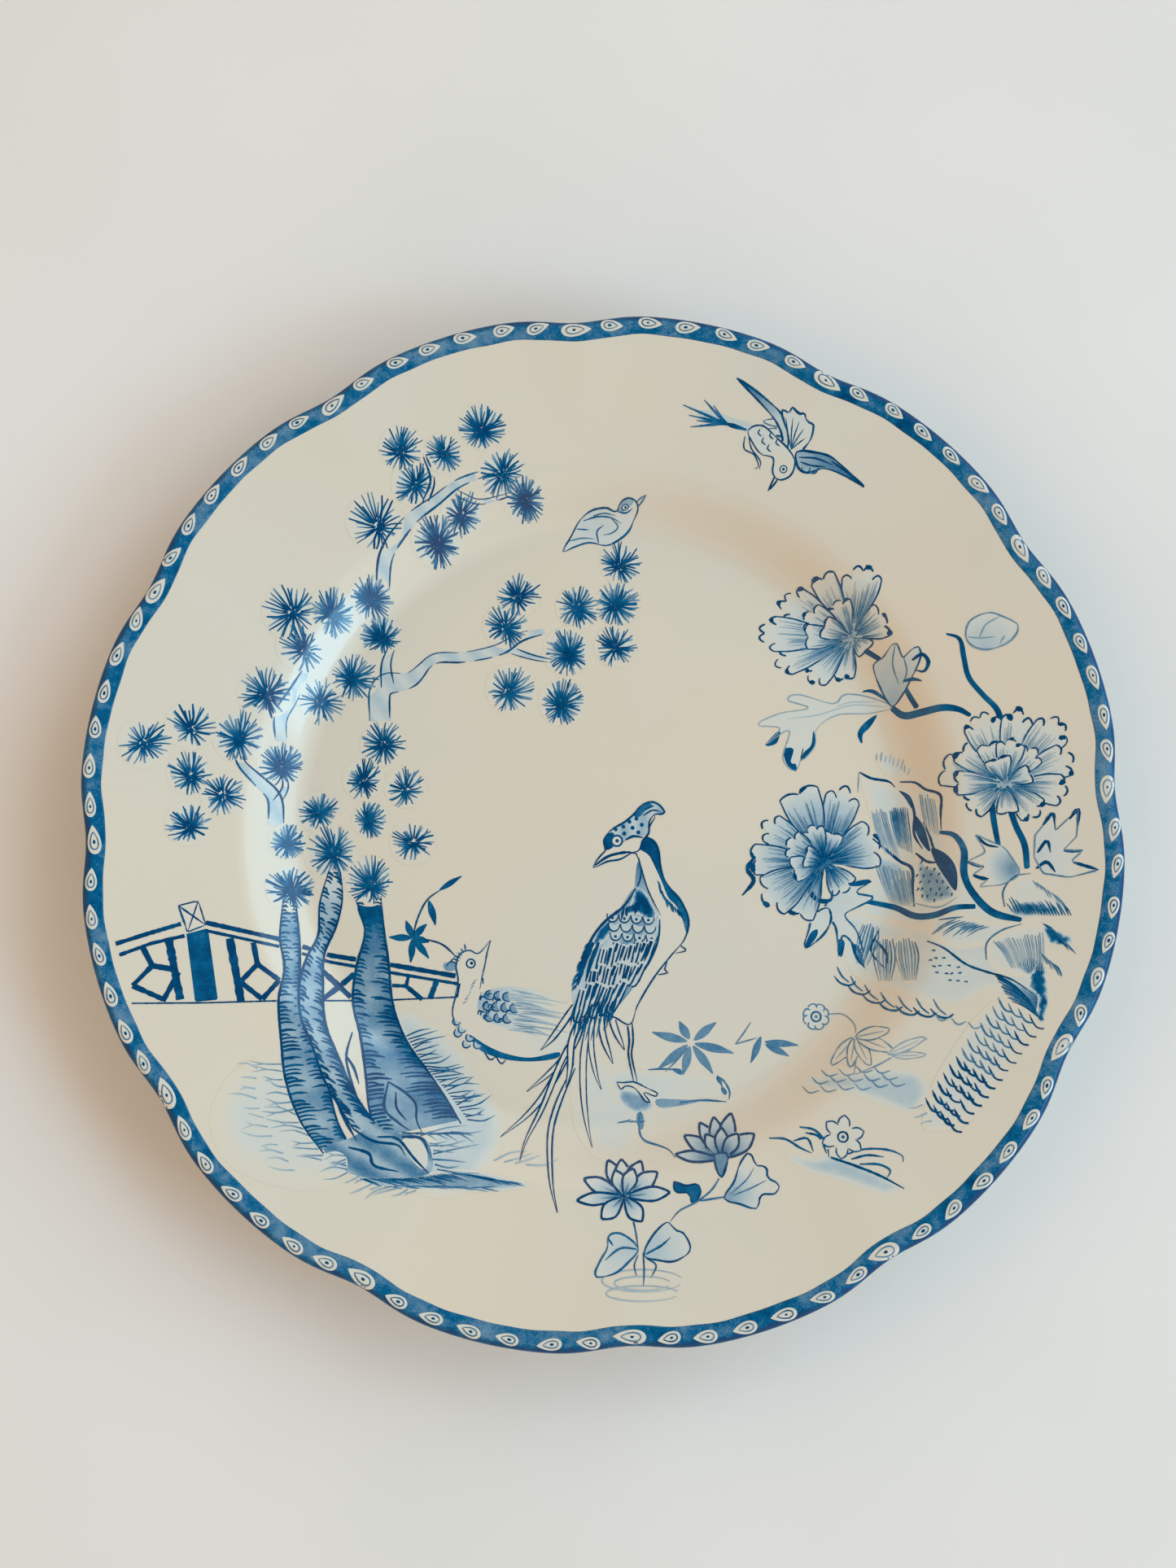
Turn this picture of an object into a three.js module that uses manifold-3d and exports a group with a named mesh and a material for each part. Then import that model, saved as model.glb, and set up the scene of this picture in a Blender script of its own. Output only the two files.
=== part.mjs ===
// A china dinner plate: one fired clay body on a foot ring, cobalt transfer prints lying on the
// clay, and a clear glaze over both. Millimetres, +Z up, the origin at the centre of the foot ring's
// rest plane. The garden printed on the face stands upright when +Y is its top. Angles round the
// plate run clockwise from +Y.
import * as THREE from "three";
import { mergeVertices } from "three/addons/utils/BufferGeometryUtils.js";
import Module from "manifold-3d";

const wasm = await Module();
wasm.setup();

const { Vector2, Vector3 } = THREE;
const radians = THREE.MathUtils.degToRad;

// ---- driving dimensions, over the glaze where there is glaze ------------------------------------
const PLATE_RADIUS = 133; // at the middle of a lobe
const PLATE_HEIGHT = 23.9;
const LOBES = 12; // round the scalloped edge
const LOBE_SAG = 0.5; // how far each lobe's arc falls towards its ends
const NOTCH_DIP = 1.9; // the sharper dip where two lobes meet
const NOTCH_TURN = radians(-2.8); // the notches' turn from the garden's upright

const FLOOR_Z = 7; // the well's floor
const WELL_RADIUS = 76; // where the floor starts to rise
const SHOULDER = new Vector2(94, 16.3); // where the rise meets the flange
const FLANGE_MIDDLE = new Vector2(112, 19.8);
const WALL = 4.2; // thickness of the flange
const LIP_CURL = 1.9; // radius of the rounded lip
const LIP_SLOPE = 12; // degrees that the lip is tilted in towards the well
const RECESS_Z = 2.2; // ceiling of the hollow inside the foot ring
const FOOT_INNER = 77.4;
const FOOT_OUTER = 83.4;
const FOOT_EDGE = 0.8; // the foot ring's eased corners
const GLAZE_STOP_Z = 1.4; // the foot is wiped bare of glaze below this

const GLAZE = 0.3; // thickness of the glaze
const PRINT = 0.1; // thickness of a print
const PRINT_GAP = 0.1; // the clearance on each side of a print
const SKIN = GLAZE + PRINT + 2 * PRINT_GAP; // from the clay to the glaze's surface
const BAND_WIDTH = 5.3; // the cobalt band along the lip
const BAND_BACK = 2; // how far the band runs on beneath the lip

const COLUMNS = LOBES * 6; // facets round the plate, with a corner on every notch
const RISE_STEPS = 4;
const LIP_STEPS = 2; // for each quarter turn

// ---- materials ----------------------------------------------------------------------------------
const finish = (color, roughness) => new THREE.MeshStandardMaterial({ color, roughness, metalness: 0 });
const biscuit = finish(0xe0d3bb, 0.8);
const glaze = finish(0xe4dcc8, 0.08);
const cobalt = finish(0x1f4c86, 0.2);
const wash = finish(0x7f9fc4, 0.2);

// ---- the section, as points (radius, height) with the clay on their left ------------------------
const lipCentre = new Vector2(PLATE_RADIUS - LIP_CURL, PLATE_HEIGHT - LIP_CURL);
const bandEdge = new Vector2(PLATE_RADIUS - BAND_WIDTH, PLATE_HEIGHT - 0.55);

// The hollow under the plate, from its centre to the foot ring's inner wall.
function recessPath() {
  return [
    new Vector2(0, RECESS_Z),
    new Vector2(FOOT_INNER - 3, RECESS_Z),
    new Vector2(FOOT_INNER - 1.2, RECESS_Z - 0.3),
    new Vector2(FOOT_INNER, GLAZE_STOP_Z),
  ];
}

// The bare clay of the foot ring.
function footPath() {
  const inner = FOOT_INNER + SKIN;
  const outer = FOOT_OUTER - SKIN;
  return [
    new Vector2(inner + 0.1, FOOT_EDGE),
    new Vector2(inner + 0.1 + FOOT_EDGE, 0),
    new Vector2(outer - 0.1 - FOOT_EDGE, 0),
    new Vector2(outer - 0.1, FOOT_EDGE),
  ];
}

// The underside, from the foot ring's outer wall to the band beneath the lip.
function backPath() {
  return [
    new Vector2(FOOT_OUTER, GLAZE_STOP_Z),
    new Vector2(FOOT_OUTER + 2, 4.2),
    new Vector2(SHOULDER.x - 1.6, 10.2),
    new Vector2(SHOULDER.x + 4.5, SHOULDER.y + 0.5 - WALL),
    new Vector2(FLANGE_MIDDLE.x, FLANGE_MIDDLE.y - WALL),
    new Vector2(lipCentre.x - BAND_BACK, lipCentre.y - LIP_CURL - 0.4),
  ];
}

// Round the lip, from beneath it over its edge to its top.
function lipPath() {
  const path = new THREE.Path();
  path.absarc(lipCentre.x, lipCentre.y, LIP_CURL, radians(LIP_SLOPE - 90), radians(LIP_SLOPE + 90), false);
  return path.getPoints(LIP_STEPS);
}

// The face, from inside the band to the centre of the well.
function facePath() {
  const run = SHOULDER.x - WELL_RADIUS;
  const rise = new THREE.CubicBezierCurve(
    SHOULDER,
    new Vector2(SHOULDER.x - 0.4 * run, SHOULDER.y - 1.6),
    new Vector2(WELL_RADIUS + 0.45 * run, FLOOR_Z),
    new Vector2(WELL_RADIUS, FLOOR_Z),
  );
  return [bandEdge, FLANGE_MIDDLE, ...rise.getPoints(RISE_STEPS), new Vector2(0, FLOOR_Z)];
}

// ---- solids turned round the plate's axis -------------------------------------------------------
const heading = (from, to) => to.clone().sub(from).normalize();

// The path moved away from the clay, keeping its distance at every corner.
function offset(path, distance) {
  return path.map((point, i) => {
    const next = path[Math.min(i + 1, path.length - 1)];
    const last = path[Math.max(i - 1, 0)];
    const arriving = i > 0 ? heading(last, point) : heading(point, next);
    const leaving = next === point ? arriving : heading(point, next);
    const along = arriving.clone().add(leaving).normalize();
    const reach = distance / along.dot(leaving);
    const moved = new Vector2(point.x + along.y * reach, point.y - along.x * reach);
    return point.x === 0 ? moved.setX(0) : moved;
  });
}

// How far the edge dips in from a full circle.
function dip(angle) {
  const wave = Math.cos((LOBES / 2) * (angle - NOTCH_TURN));
  return LOBE_SAG * wave ** 2 + NOTCH_DIP * wave ** 8;
}

// Pulls a turned shape in to the scalloped outline, wholly at the lip and not at all at the shoulder.
function scallop(geometry) {
  const places = geometry.getAttribute("position");
  for (let i = 0; i < places.count; i++) {
    const x = places.getX(i);
    const y = places.getY(i);
    const radius = Math.hypot(x, y);
    const share = THREE.MathUtils.smoothstep(radius, SHOULDER.x, lipCentre.x);
    if (share > 0) {
      const scale = 1 - (share * dip(Math.atan2(x, y))) / radius;
      places.setXY(i, x * scale, y * scale);
    }
  }
  return geometry;
}

function turned(profile) {
  const geometry = new THREE.LatheGeometry(profile, COLUMNS, Math.PI - NOTCH_TURN);
  return scallop(geometry.rotateX(Math.PI / 2));
}

// A closed shell along a path, between two distances inward from the glaze's surface.
function shell(path, outerDepth, innerDepth) {
  const outer = offset(path, -outerDepth);
  const inner = offset(path, -innerDepth).reverse();
  if (path[0].x === 0) {
    return turned([...outer, ...inner]);
  }
  if (path.at(-1).x === 0) {
    return turned([...inner, ...outer]);
  }
  return turned([...outer, ...inner, outer[0]]);
}

// ---- prints: pieces of a sheet over the face, cut to an outline ---------------------------------
function solidOf(geometry) {
  const bare = geometry.clone();
  bare.deleteAttribute("normal");
  bare.deleteAttribute("uv");
  const merged = mergeVertices(bare, 1e-4);
  const vertProperties = merged.getAttribute("position").array;
  const triVerts = new Uint32Array(merged.index.array);
  return new wasm.Manifold(new wasm.Mesh({ numProp: 3, vertProperties, triVerts }));
}

function geometryOf(solid) {
  const { vertProperties, triVerts } = solid.getMesh();
  const geometry = new THREE.BufferGeometry();
  geometry.setAttribute("position", new THREE.BufferAttribute(vertProperties, 3));
  geometry.setIndex(new THREE.BufferAttribute(triVerts, 1));
  geometry.computeVertexNormals();
  return geometry;
}

const printTop = GLAZE + PRINT_GAP;
const printSheet = solidOf(shell(facePath(), printTop, printTop + PRINT));

// An upright column whose plan is a smooth closed outline through hand-set places.
function column(places) {
  const corners = places.map(([x, y]) => new Vector3(x, y, 0));
  const outline = new THREE.CatmullRomCurve3(corners, true).getPoints(places.length * 3);
  outline.pop();
  const plan = new THREE.Shape(outline.map(({ x, y }) => new Vector2(x, y)));
  return solidOf(new THREE.ExtrudeGeometry(plan, { depth: 2 * PLATE_HEIGHT, bevelEnabled: false }));
}

const printed = (places) => geometryOf(printSheet.intersect(column(places)));

const gardenPrints = {
  pine_tree_print: [
    [-33, 111], [-19, 94], [-14, 72], [-8, 66], [3, 75], [12, 68], [12, 44], [-4, 26], [-34, 26],
    [-42, 8], [-44, -6], [-52, -18], [-55, -34], [-56, -60], [-36, -80], [-24, -94], [-62, -92],
    [-84, -82], [-87, -48], [-86, -22], [-104, -8], [-121, 10], [-115, 30], [-88, 46], [-84, 62],
    [-56, 104],
  ],
  garden_fence_print: [[-119, -34], [-104, -24], [-91, -30], [-91, -46], [-104, -50], [-115, -47]],
  bamboo_spray_print: [[-48, -30], [-46, -18], [-38, -14], [-34, -22], [-40, -27]],
  hen_bird_print: [[-39, -36], [-29, -28], [-16, -37], [-12, -46], [-19, -56], [-31, -56], [-42, -46]],
  long_tailed_bird_print: [
    [-6, -14], [6, 4], [20, 6], [16, -10], [25, -26], [20, -46], [8, -58], [-2, -78], [-16, -100],
    [-26, -86], [-20, -70], [-6, -46], [4, -20],
  ],
  river_bank_print: [[14, -56], [23, -62], [34, -63], [32, -68], [20, -72], [11, -76], [4, -68]],
  bamboo_shoots_print: [[20, -51], [27, -46], [43, -49], [47, -59], [36, -60], [25, -57]],
  perched_bird_print: [[-14, 76], [-2, 82], [6, 88], [14, 86], [8, 79], [-1, 76.5]],
  flying_bird_print: [[20, 103], [34, 117], [56, 106], [70, 88], [46, 83], [36, 96]],
  tall_peony_print: [
    [38, 36], [42, 66], [62, 71], [76, 60], [84, 44], [83, 30], [70, 16], [40, 14], [60, 30],
  ],
  rim_peony_print: [
    [84, -1], [86, 24], [92, 32], [86, 50], [98, 57], [109, 50], [107, 30], [121, 20], [124, -4],
    [115, -19], [98, -14],
  ],
  river_peony_print: [
    [34, -12], [38, 8], [56, 11], [72, 6], [79, -8], [72, -20], [54, -32], [38, -30],
  ],
  rock_garden_print: [
    [80, -24], [96, -18], [117, -24], [117, -42], [108, -56], [88, -50], [72, -44], [70, -32],
  ],
  shore_print: [[66, -50], [80, -56], [104, -60], [98, -74], [82, -82], [79, -68]],
  wild_flower_print: [[52, -44], [60, -46], [62, -57], [73, -66], [65, -71], [52, -70]],
  daisy_print: [[48, -82], [60, -75], [75, -81], [72, -94], [52, -96]],
  lotus_print: [
    [-5, -92], [4, -82], [18, -82], [30, -72], [40, -77], [43, -92], [30, -104], [6, -119], [-6, -106],
  ],
};

const washPrints = ["river_bank_print", "shore_print"]; // printed in pale tone, hardly any line

// ---- the plate ----------------------------------------------------------------------------------
const plate = new THREE.Group();

function piece(name, geometry, material) {
  const mesh = new THREE.Mesh(geometry, material);
  mesh.name = name;
  plate.add(mesh);
}

function clay() {
  const under = [...offset(recessPath(), -SKIN), ...footPath()];
  const over = offset([...backPath(), ...lipPath(), ...facePath()], -SKIN);
  return turned([...under, ...over]);
}

function coat() {
  return shell([...backPath(), ...lipPath(), ...facePath()], 0, GLAZE);
}

function band() {
  const beneath = backPath().at(-1);
  return shell([beneath, ...lipPath(), bandEdge], printTop, printTop + PRINT);
}

piece("clay_body", clay(), biscuit);
piece("glaze_coat", coat(), glaze);
piece("recess_glaze", shell(recessPath(), 0, GLAZE), glaze);
piece("edge_band_print", band(), cobalt);
for (const [name, places] of Object.entries(gardenPrints)) {
  piece(name, printed(places), washPrints.includes(name) ? wash : cobalt);
}

export default plate;
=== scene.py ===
import math
import random

import bpy
import numpy as np
from mathutils import Matrix, Vector
from mathutils.geometry import delaunay_2d_cdt
from mathutils.kdtree import KDTree


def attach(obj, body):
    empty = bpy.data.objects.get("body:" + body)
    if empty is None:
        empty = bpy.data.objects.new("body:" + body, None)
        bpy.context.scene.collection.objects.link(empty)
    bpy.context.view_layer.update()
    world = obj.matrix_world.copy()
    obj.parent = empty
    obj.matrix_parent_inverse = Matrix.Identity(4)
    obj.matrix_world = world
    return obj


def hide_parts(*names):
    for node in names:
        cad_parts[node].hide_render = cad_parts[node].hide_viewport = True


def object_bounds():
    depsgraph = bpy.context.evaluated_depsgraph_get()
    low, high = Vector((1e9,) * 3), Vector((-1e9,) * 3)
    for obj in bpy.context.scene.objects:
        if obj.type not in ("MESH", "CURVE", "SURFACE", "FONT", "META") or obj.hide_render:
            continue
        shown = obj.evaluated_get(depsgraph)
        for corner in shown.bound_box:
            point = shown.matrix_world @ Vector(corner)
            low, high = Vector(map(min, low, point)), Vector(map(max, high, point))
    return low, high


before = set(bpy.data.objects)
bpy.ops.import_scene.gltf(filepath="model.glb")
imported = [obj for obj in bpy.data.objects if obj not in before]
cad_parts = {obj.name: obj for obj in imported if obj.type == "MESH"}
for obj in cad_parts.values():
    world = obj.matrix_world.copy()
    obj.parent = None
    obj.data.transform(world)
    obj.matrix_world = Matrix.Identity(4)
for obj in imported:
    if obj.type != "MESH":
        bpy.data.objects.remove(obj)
CAD_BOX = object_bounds()
MM = 0.001

# ---- the plate's section, as in the frame --------------------------------------------------------
CAD_HALF_WIDTH = CAD_BOX[1][0] / MM
CAD_HEIGHT = CAD_BOX[1][2] / MM
LOBES = 12
LOBE_SAG = 0.5  # how far the edge falls in from a lobe's middle to its ends
NOTCH_DIP = 1.9  # how far it falls in beyond that at a notch
NOTCH_TURN = math.radians(-2.8)  # where the first notch lies, clockwise from +y
LOBE_RISE = 0.72  # what the lobes' tops reach past the plate's half-width
RIM_RADIUS = CAD_HALF_WIDTH + LOBE_RISE
LIP_CURL = 1.9  # the radius of the rounded lip
LIP_RADIUS = RIM_RADIUS - LIP_CURL
LIP_ROOM = 0.15  # the height left over the lip for the band and its beads
LIP_Z = CAD_HEIGHT - LIP_ROOM - LIP_CURL
LIP_SLOPE = math.radians(12)  # how steeply the flange meets the lip
FLOOR_Z = 7.0  # the height of the well
WELL_RADIUS = 76.0
SHOULDER = (94.0, 16.3)  # the radius and height where the flange begins
WALL = 4.2  # how thick the plate is near the shoulder
RECESS_Z = 2.2  # the height of the hollow inside the foot ring
FOOT_INNER = 77.4
FOOT_OUTER = 83.4
GLAZE_STOP_Z = 1.4  # the foot ring is bare below this
GLAZE = 0.3  # how thick the glaze is
SKIN = 0.6  # how far in from the surface the clay is built
BAND_WIDTH = 5.3
BAND_WANDER = 0.07  # how far each wave in its inner edge goes
BAND_LIFT, BAND_ROOT = 0.03, 0.05  # how far it stands off the glaze, and sits in it
COLUMNS = LOBES * 36  # the steps round the plate
ANGLES = NOTCH_TURN + np.arange(COLUMNS) * 2 * math.pi / COLUMNS
SLOPE_STEP = 0.06  # how far to each side the face's slope is measured

# ---- the beads on the band -----------------------------------------------------------------------
BEADS_PER_LOBE = 7
BEAD = (3.1, 1.45)  # a drop's half length and half width
NOTCH_BEAD = (3.9, 1.8)  # the same for the larger one on each notch
BEAD_FROM_RIM = 2.35  # how far its middle lies in from the edge
BEAD_SLANT = 13  # the most that one is turned off the edge's direction, in degrees
BEAD_GRID = 0.5  # how finely its wash follows the band


def bezier(a, b, c, d, count):
    """Points on a cubic curve, both ends included."""
    t = np.linspace(0, 1, count)[:, None]
    a, b, c, d = (np.array(p, float) for p in (a, b, c, d))
    return a * (1 - t) ** 3 + 3 * b * t * (1 - t) ** 2 + 3 * c * t**2 * (1 - t) + d * t**3


def lip_point(angle):
    """A place on the rounded lip, as (radius, height)."""
    return (LIP_RADIUS + LIP_CURL * math.cos(angle), LIP_Z + LIP_CURL * math.sin(angle))


def face_profile():
    """From the well's centre out to the lip's top, as rows of (radius, height)."""
    run = SHOULDER[0] - WELL_RADIUS
    floor = [(r, FLOOR_Z) for r in (0, 8, 20, 32, 44, 54, 62, 68, 72, 74.5)]
    rise = bezier((WELL_RADIUS, FLOOR_Z), (WELL_RADIUS + 0.36 * run, FLOOR_Z),
        (SHOULDER[0] - 0.4 * run, SHOULDER[1] - 1.6), SHOULDER, 30)
    top = lip_point(math.pi / 2 + LIP_SLOPE)
    flange = bezier(SHOULDER, (SHOULDER[0] + 9, SHOULDER[1] + 2.0), (top[0] - 14,
        top[1] - 14 * math.tan(LIP_SLOPE)), top, 26)
    return np.vstack([floor, rise, flange[1:]])


def lip_profile():
    """Round the lip, from its top to beneath it."""
    angles = np.linspace(math.pi / 2 + LIP_SLOPE, -math.pi / 2 + LIP_SLOPE, 17)
    return np.array([lip_point(a) for a in angles])


def back_profile():
    """The underside, from the lip to where the glaze stops on the foot ring's outer wall."""
    start = lip_profile()[-1]
    under = (SHOULDER[0] + 4.5, SHOULDER[1] + 0.5 - WALL)
    flange = bezier(start, (start[0] - 12, start[1] - 2.6), (under[0] + 10, under[1] + 1.9), under, 14)
    wall = bezier(under, (under[0] - 5.5, under[1] - 1.1), (FOOT_OUTER + 4.0, 6.2), (FOOT_OUTER + 1.3, 3.4),
        12)
    foot = bezier(wall[-1], (FOOT_OUTER + 0.6, 2.6), (FOOT_OUTER, 2.2), (FOOT_OUTER, GLAZE_STOP_Z), 6)
    return np.vstack([flange, wall[1:], foot[1:]])


def recess_profile():
    """The hollow under the plate, from the foot ring's inner wall to the centre."""
    cove = bezier((FOOT_INNER, GLAZE_STOP_Z), (FOOT_INNER, RECESS_Z - 0.1), (FOOT_INNER - 1.6, RECESS_Z),
        (FOOT_INNER - 3.4, RECESS_Z), 8)
    return np.vstack([cove, [(r, RECESS_Z) for r in (66, 54, 40, 24, 10, 0)]])


FACE = face_profile()
GLAZED = np.vstack([FACE, lip_profile()[1:], back_profile()[1:]])  # all that is dipped as one
UPPER = np.vstack([FACE, lip_profile()[1:9]])  # all that is seen from above


def share(radius):
    """How much of the edge's scallop reaches this radius."""
    t = np.clip((radius - SHOULDER[0]) / (LIP_RADIUS - SHOULDER[0]), 0, 1)
    return t * t * (3 - 2 * t)


def dip(angle):
    """How far the edge falls in from a circle, at an angle clockwise from +y."""
    wave = np.cos(LOBES / 2 * (angle - NOTCH_TURN))
    return LOBE_SAG * wave**2 + NOTCH_DIP * wave**8


def height(x, y):
    """The face's height over a place in plan."""
    reach = np.hypot(x, y)
    fall = dip(np.arctan2(x, y))
    radius = reach
    for _ in range(3):
        radius = reach + share(radius) * fall
    return np.interp(radius, UPPER[:, 0], UPPER[:, 1])


def drape(plan, lift):
    """Places in plan laid on the face and lifted off it: points in metres, and the face's normals."""
    x, y = plan[:, 0], plan[:, 1]
    slope_x = (height(x + SLOPE_STEP, y) - height(x - SLOPE_STEP, y)) / (2 * SLOPE_STEP)
    slope_y = (height(x, y + SLOPE_STEP) - height(x, y - SLOPE_STEP)) / (2 * SLOPE_STEP)
    normal = np.stack([-slope_x, -slope_y, np.ones(len(x))], 1)
    normal /= np.linalg.norm(normal, axis=1)[:, None]
    points = np.stack([x, y, height(x, y)], 1) + normal * lift[:, None]
    return points * MM, normal


def turn(profile):
    """A profile turned round the axis and scalloped: a grid of points, one row for each profile point."""
    radius = profile[:, 0][:, None] - share(profile[:, 0])[:, None] * dip(ANGLES)[None]
    x = radius * np.sin(ANGLES)
    y = radius * np.cos(ANGLES)
    z = np.repeat(profile[:, 1][:, None], COLUMNS, 1)
    return np.stack([x, y, z], 2) * MM


def inset(profile, depth):
    """The profile moved into the clay. It runs with the clay on its right."""
    along = np.gradient(profile, axis=0)
    along /= np.linalg.norm(along, axis=1)[:, None]
    moved = profile + depth * np.stack([along[:, 1], -along[:, 0]], 1)
    moved[profile[:, 0] == 0, 0] = 0
    return moved


# ---- meshes --------------------------------------------------------------------------------------
def add_mesh(name, points, faces, material, normals=None, smooth=True):
    mesh = bpy.data.meshes.new(name)
    mesh.from_pydata(np.asarray(points).tolist(), [], faces)
    mesh.validate()
    mesh.polygons.foreach_set("use_smooth", [smooth] * len(mesh.polygons))
    if normals is not None:
        mesh.normals_split_custom_set_from_vertices(np.asarray(normals).tolist())
    mesh.materials.append(material)
    obj = bpy.data.objects.new(name, mesh)
    bpy.context.scene.collection.objects.link(obj)
    return obj


def paint(obj, name, values):
    """Give each face corner a number, for the materials to read."""
    layer = obj.data.attributes.new(name, "FLOAT", "CORNER")
    layer.data.foreach_set("value", np.asarray(values, np.float32))


def hold(obj, slot, *nodes):
    """The piece rides on the plate and stands for these nodes."""
    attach(obj, "root")
    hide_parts(*nodes)
    return obj


def ring_faces(bands, rows):
    """The faces between neighbouring rows of a turned grid. The last row is followed by the first."""
    faces = []
    for i in range(bands):
        low, high = i * COLUMNS, (i + 1) % rows * COLUMNS
        for j in range(COLUMNS):
            k = (j + 1) % COLUMNS
            faces.append((low + j, low + k, high + k, high + j))
    return faces


def turned_solid(name, profile, material):
    """A closed solid from a profile that runs with the clay on its right: a ring, or ended on the axis."""
    ended = profile[0, 0] == 0
    rings = profile[1:-1] if ended else profile
    grid = turn(rings)
    rows = len(rings)
    points = grid.reshape(-1, 3).tolist()
    faces = ring_faces(rows - 1 if ended else rows, rows)
    if ended:
        for ring, end in ((0, profile[0]), (rows - 1, profile[-1])):
            hub = len(points)
            points.append((0, 0, end[1] * MM))
            for j in range(COLUMNS):
                a, b = ring * COLUMNS + j, ring * COLUMNS + (j + 1) % COLUMNS
                faces.append((hub, b, a) if ring == 0 else (hub, a, b))
    return add_mesh(name, points, faces, material)


# ---- colours and materials -----------------------------------------------------------------------
def srgb(r, g, b):
    """A colour as a screen shows it, 0 to 255, as the linear values that shaders take."""
    levels = [c / 255 for c in (r, g, b)]
    return tuple(c / 12.92 if c <= 0.04045 else ((c + 0.055) / 1.055) ** 2.4 for c in levels) + (1,)


CREAM = srgb(224, 217, 201)
CREAM_WARM = srgb(226, 216, 196)
CREAM_COOL = srgb(220, 217, 204)


class Nodes:
    """A material's node tree, with short calls for its nodes."""

    def __init__(self, name):
        self.material = bpy.data.materials.new(name)
        self.material.use_nodes = True
        self.tree = self.material.node_tree
        self.shader = self.tree.nodes["Principled BSDF"]
        self.place = self.add("ShaderNodeTexCoord").outputs["Object"]

    def add(self, kind, **settings):
        node = self.tree.nodes.new(kind)
        for key, value in settings.items():
            setattr(node, key, value)
        return node

    def link(self, source, target):
        self.tree.links.new(source, target)

    def noise(self, scale, detail=4, rough=0.55):
        node = self.add("ShaderNodeTexNoise")
        node.inputs["Scale"].default_value = scale
        node.inputs["Detail"].default_value = detail
        node.inputs["Roughness"].default_value = rough
        self.link(self.place, node.inputs["Vector"])
        return node.outputs["Fac"]

    def map(self, value, low, high, to_low=0.0, to_high=1.0):
        node = self.add("ShaderNodeMapRange")
        for key, number in (("From Min", low), ("From Max", high), ("To Min", to_low), ("To Max", to_high)):
            node.inputs[key].default_value = number
        self.link(value, node.inputs["Value"])
        return node.outputs["Result"]

    def math(self, operation, a, b):
        node = self.add("ShaderNodeMath", operation=operation)
        for slot, value in zip(node.inputs, (a, b)):
            if isinstance(value, (int, float)):
                slot.default_value = value
            else:
                self.link(value, slot)
        return node.outputs["Value"]

    def mix(self, factor, a, b):
        node = self.add("ShaderNodeMix", data_type="RGBA")
        self.link(factor, node.inputs["Factor"])
        for slot, value in ((node.inputs["A"], a), (node.inputs["B"], b)):
            if isinstance(value, tuple):
                slot.default_value = value
            else:
                self.link(value, slot)
        return node.outputs["Result"]

    def ramp(self, value, stops):
        node = self.add("ShaderNodeValToRGB")
        elements = node.color_ramp.elements
        while len(elements) < len(stops):
            elements.new(0.5)
        for element, (position, colour) in zip(elements, stops):
            element.position = position
            element.color = colour
        self.link(value, node.inputs["Fac"])
        return node.outputs["Color"]

    def colour(self, source):
        self.link(source, self.shader.inputs["Base Color"])

    def roughness(self, source):
        self.link(source, self.shader.inputs["Roughness"])

    def bump(self, source, distance, strength):
        node = self.add("ShaderNodeBump")
        node.inputs["Strength"].default_value = strength
        node.inputs["Distance"].default_value = distance
        self.link(source, node.inputs["Height"])
        self.link(node.outputs["Normal"], self.shader.inputs["Normal"])
        if "Coat Normal" in self.shader.inputs:
            self.link(node.outputs["Normal"], self.shader.inputs["Coat Normal"])

    def set(self, **values):
        for key, value in values.items():
            self.shader.inputs[key.replace("_", " ")].default_value = value


def gloss(nodes, shine=1.0):
    """What all glazed surfaces share: a hard clear coat with a faint ripple."""
    nodes.set(IOR=1.5, Specular_IOR_Level=0.32 * shine, Coat_Weight=0.1 * shine, Coat_Roughness=0.05,
        Coat_IOR=1.5)
    nodes.bump(nodes.noise(150, 3), 0.00004, 0.5)
    nodes.roughness(nodes.map(nodes.noise(420, 3), 0.3, 0.7, 0.14, 0.22))


def ground_colour(nodes):
    """Cream glaze over pale clay: slow drifts of tone, pooling and a few iron specks."""
    drift = nodes.map(nodes.noise(9, 3), 0.35, 0.65)
    base = nodes.mix(drift, CREAM_WARM, CREAM_COOL)
    cloud = nodes.map(nodes.noise(60, 5), 0.3, 0.7)
    base = nodes.mix(nodes.math("MULTIPLY", cloud, 0.35), base, CREAM)
    cells = nodes.add("ShaderNodeTexVoronoi")
    cells.inputs["Scale"].default_value = 90
    nodes.link(nodes.place, cells.inputs["Vector"])
    speck = nodes.map(cells.outputs["Distance"], 0.0, 0.03, 1.0, 0.0)
    rare = nodes.map(nodes.noise(37, 1), 0.62, 0.66)
    return nodes.mix(nodes.math("MULTIPLY", speck, nodes.math("MULTIPLY", rare, 0.5)), base,
        srgb(120, 100, 76))


def glaze_material():
    nodes = Nodes("cream_glaze")
    nodes.colour(ground_colour(nodes))
    gloss(nodes)
    return nodes.material


def biscuit_material():
    nodes = Nodes("bare_biscuit")
    grain = nodes.map(nodes.noise(900, 6), 0.3, 0.7)
    worn = nodes.map(nodes.noise(45, 4), 0.45, 0.7)
    base = nodes.mix(grain, srgb(214, 196, 166), srgb(233, 219, 194))
    nodes.colour(nodes.mix(nodes.math("MULTIPLY", worn, 0.6), base, srgb(168, 148, 122)))
    nodes.roughness(nodes.map(grain, 0, 1, 0.75, 0.95))
    nodes.bump(nodes.noise(1400, 5), 0.00006, 0.8)
    return nodes.material


INK_STOPS = [
    (0.0, srgb(222, 219, 205)),
    (0.12, srgb(212, 218, 213)),
    (0.3, srgb(178, 199, 208)),
    (0.55, srgb(112, 150, 176)),
    (0.8, srgb(8, 100, 146)),
    (1.0, srgb(0, 66, 112)),
]


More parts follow.
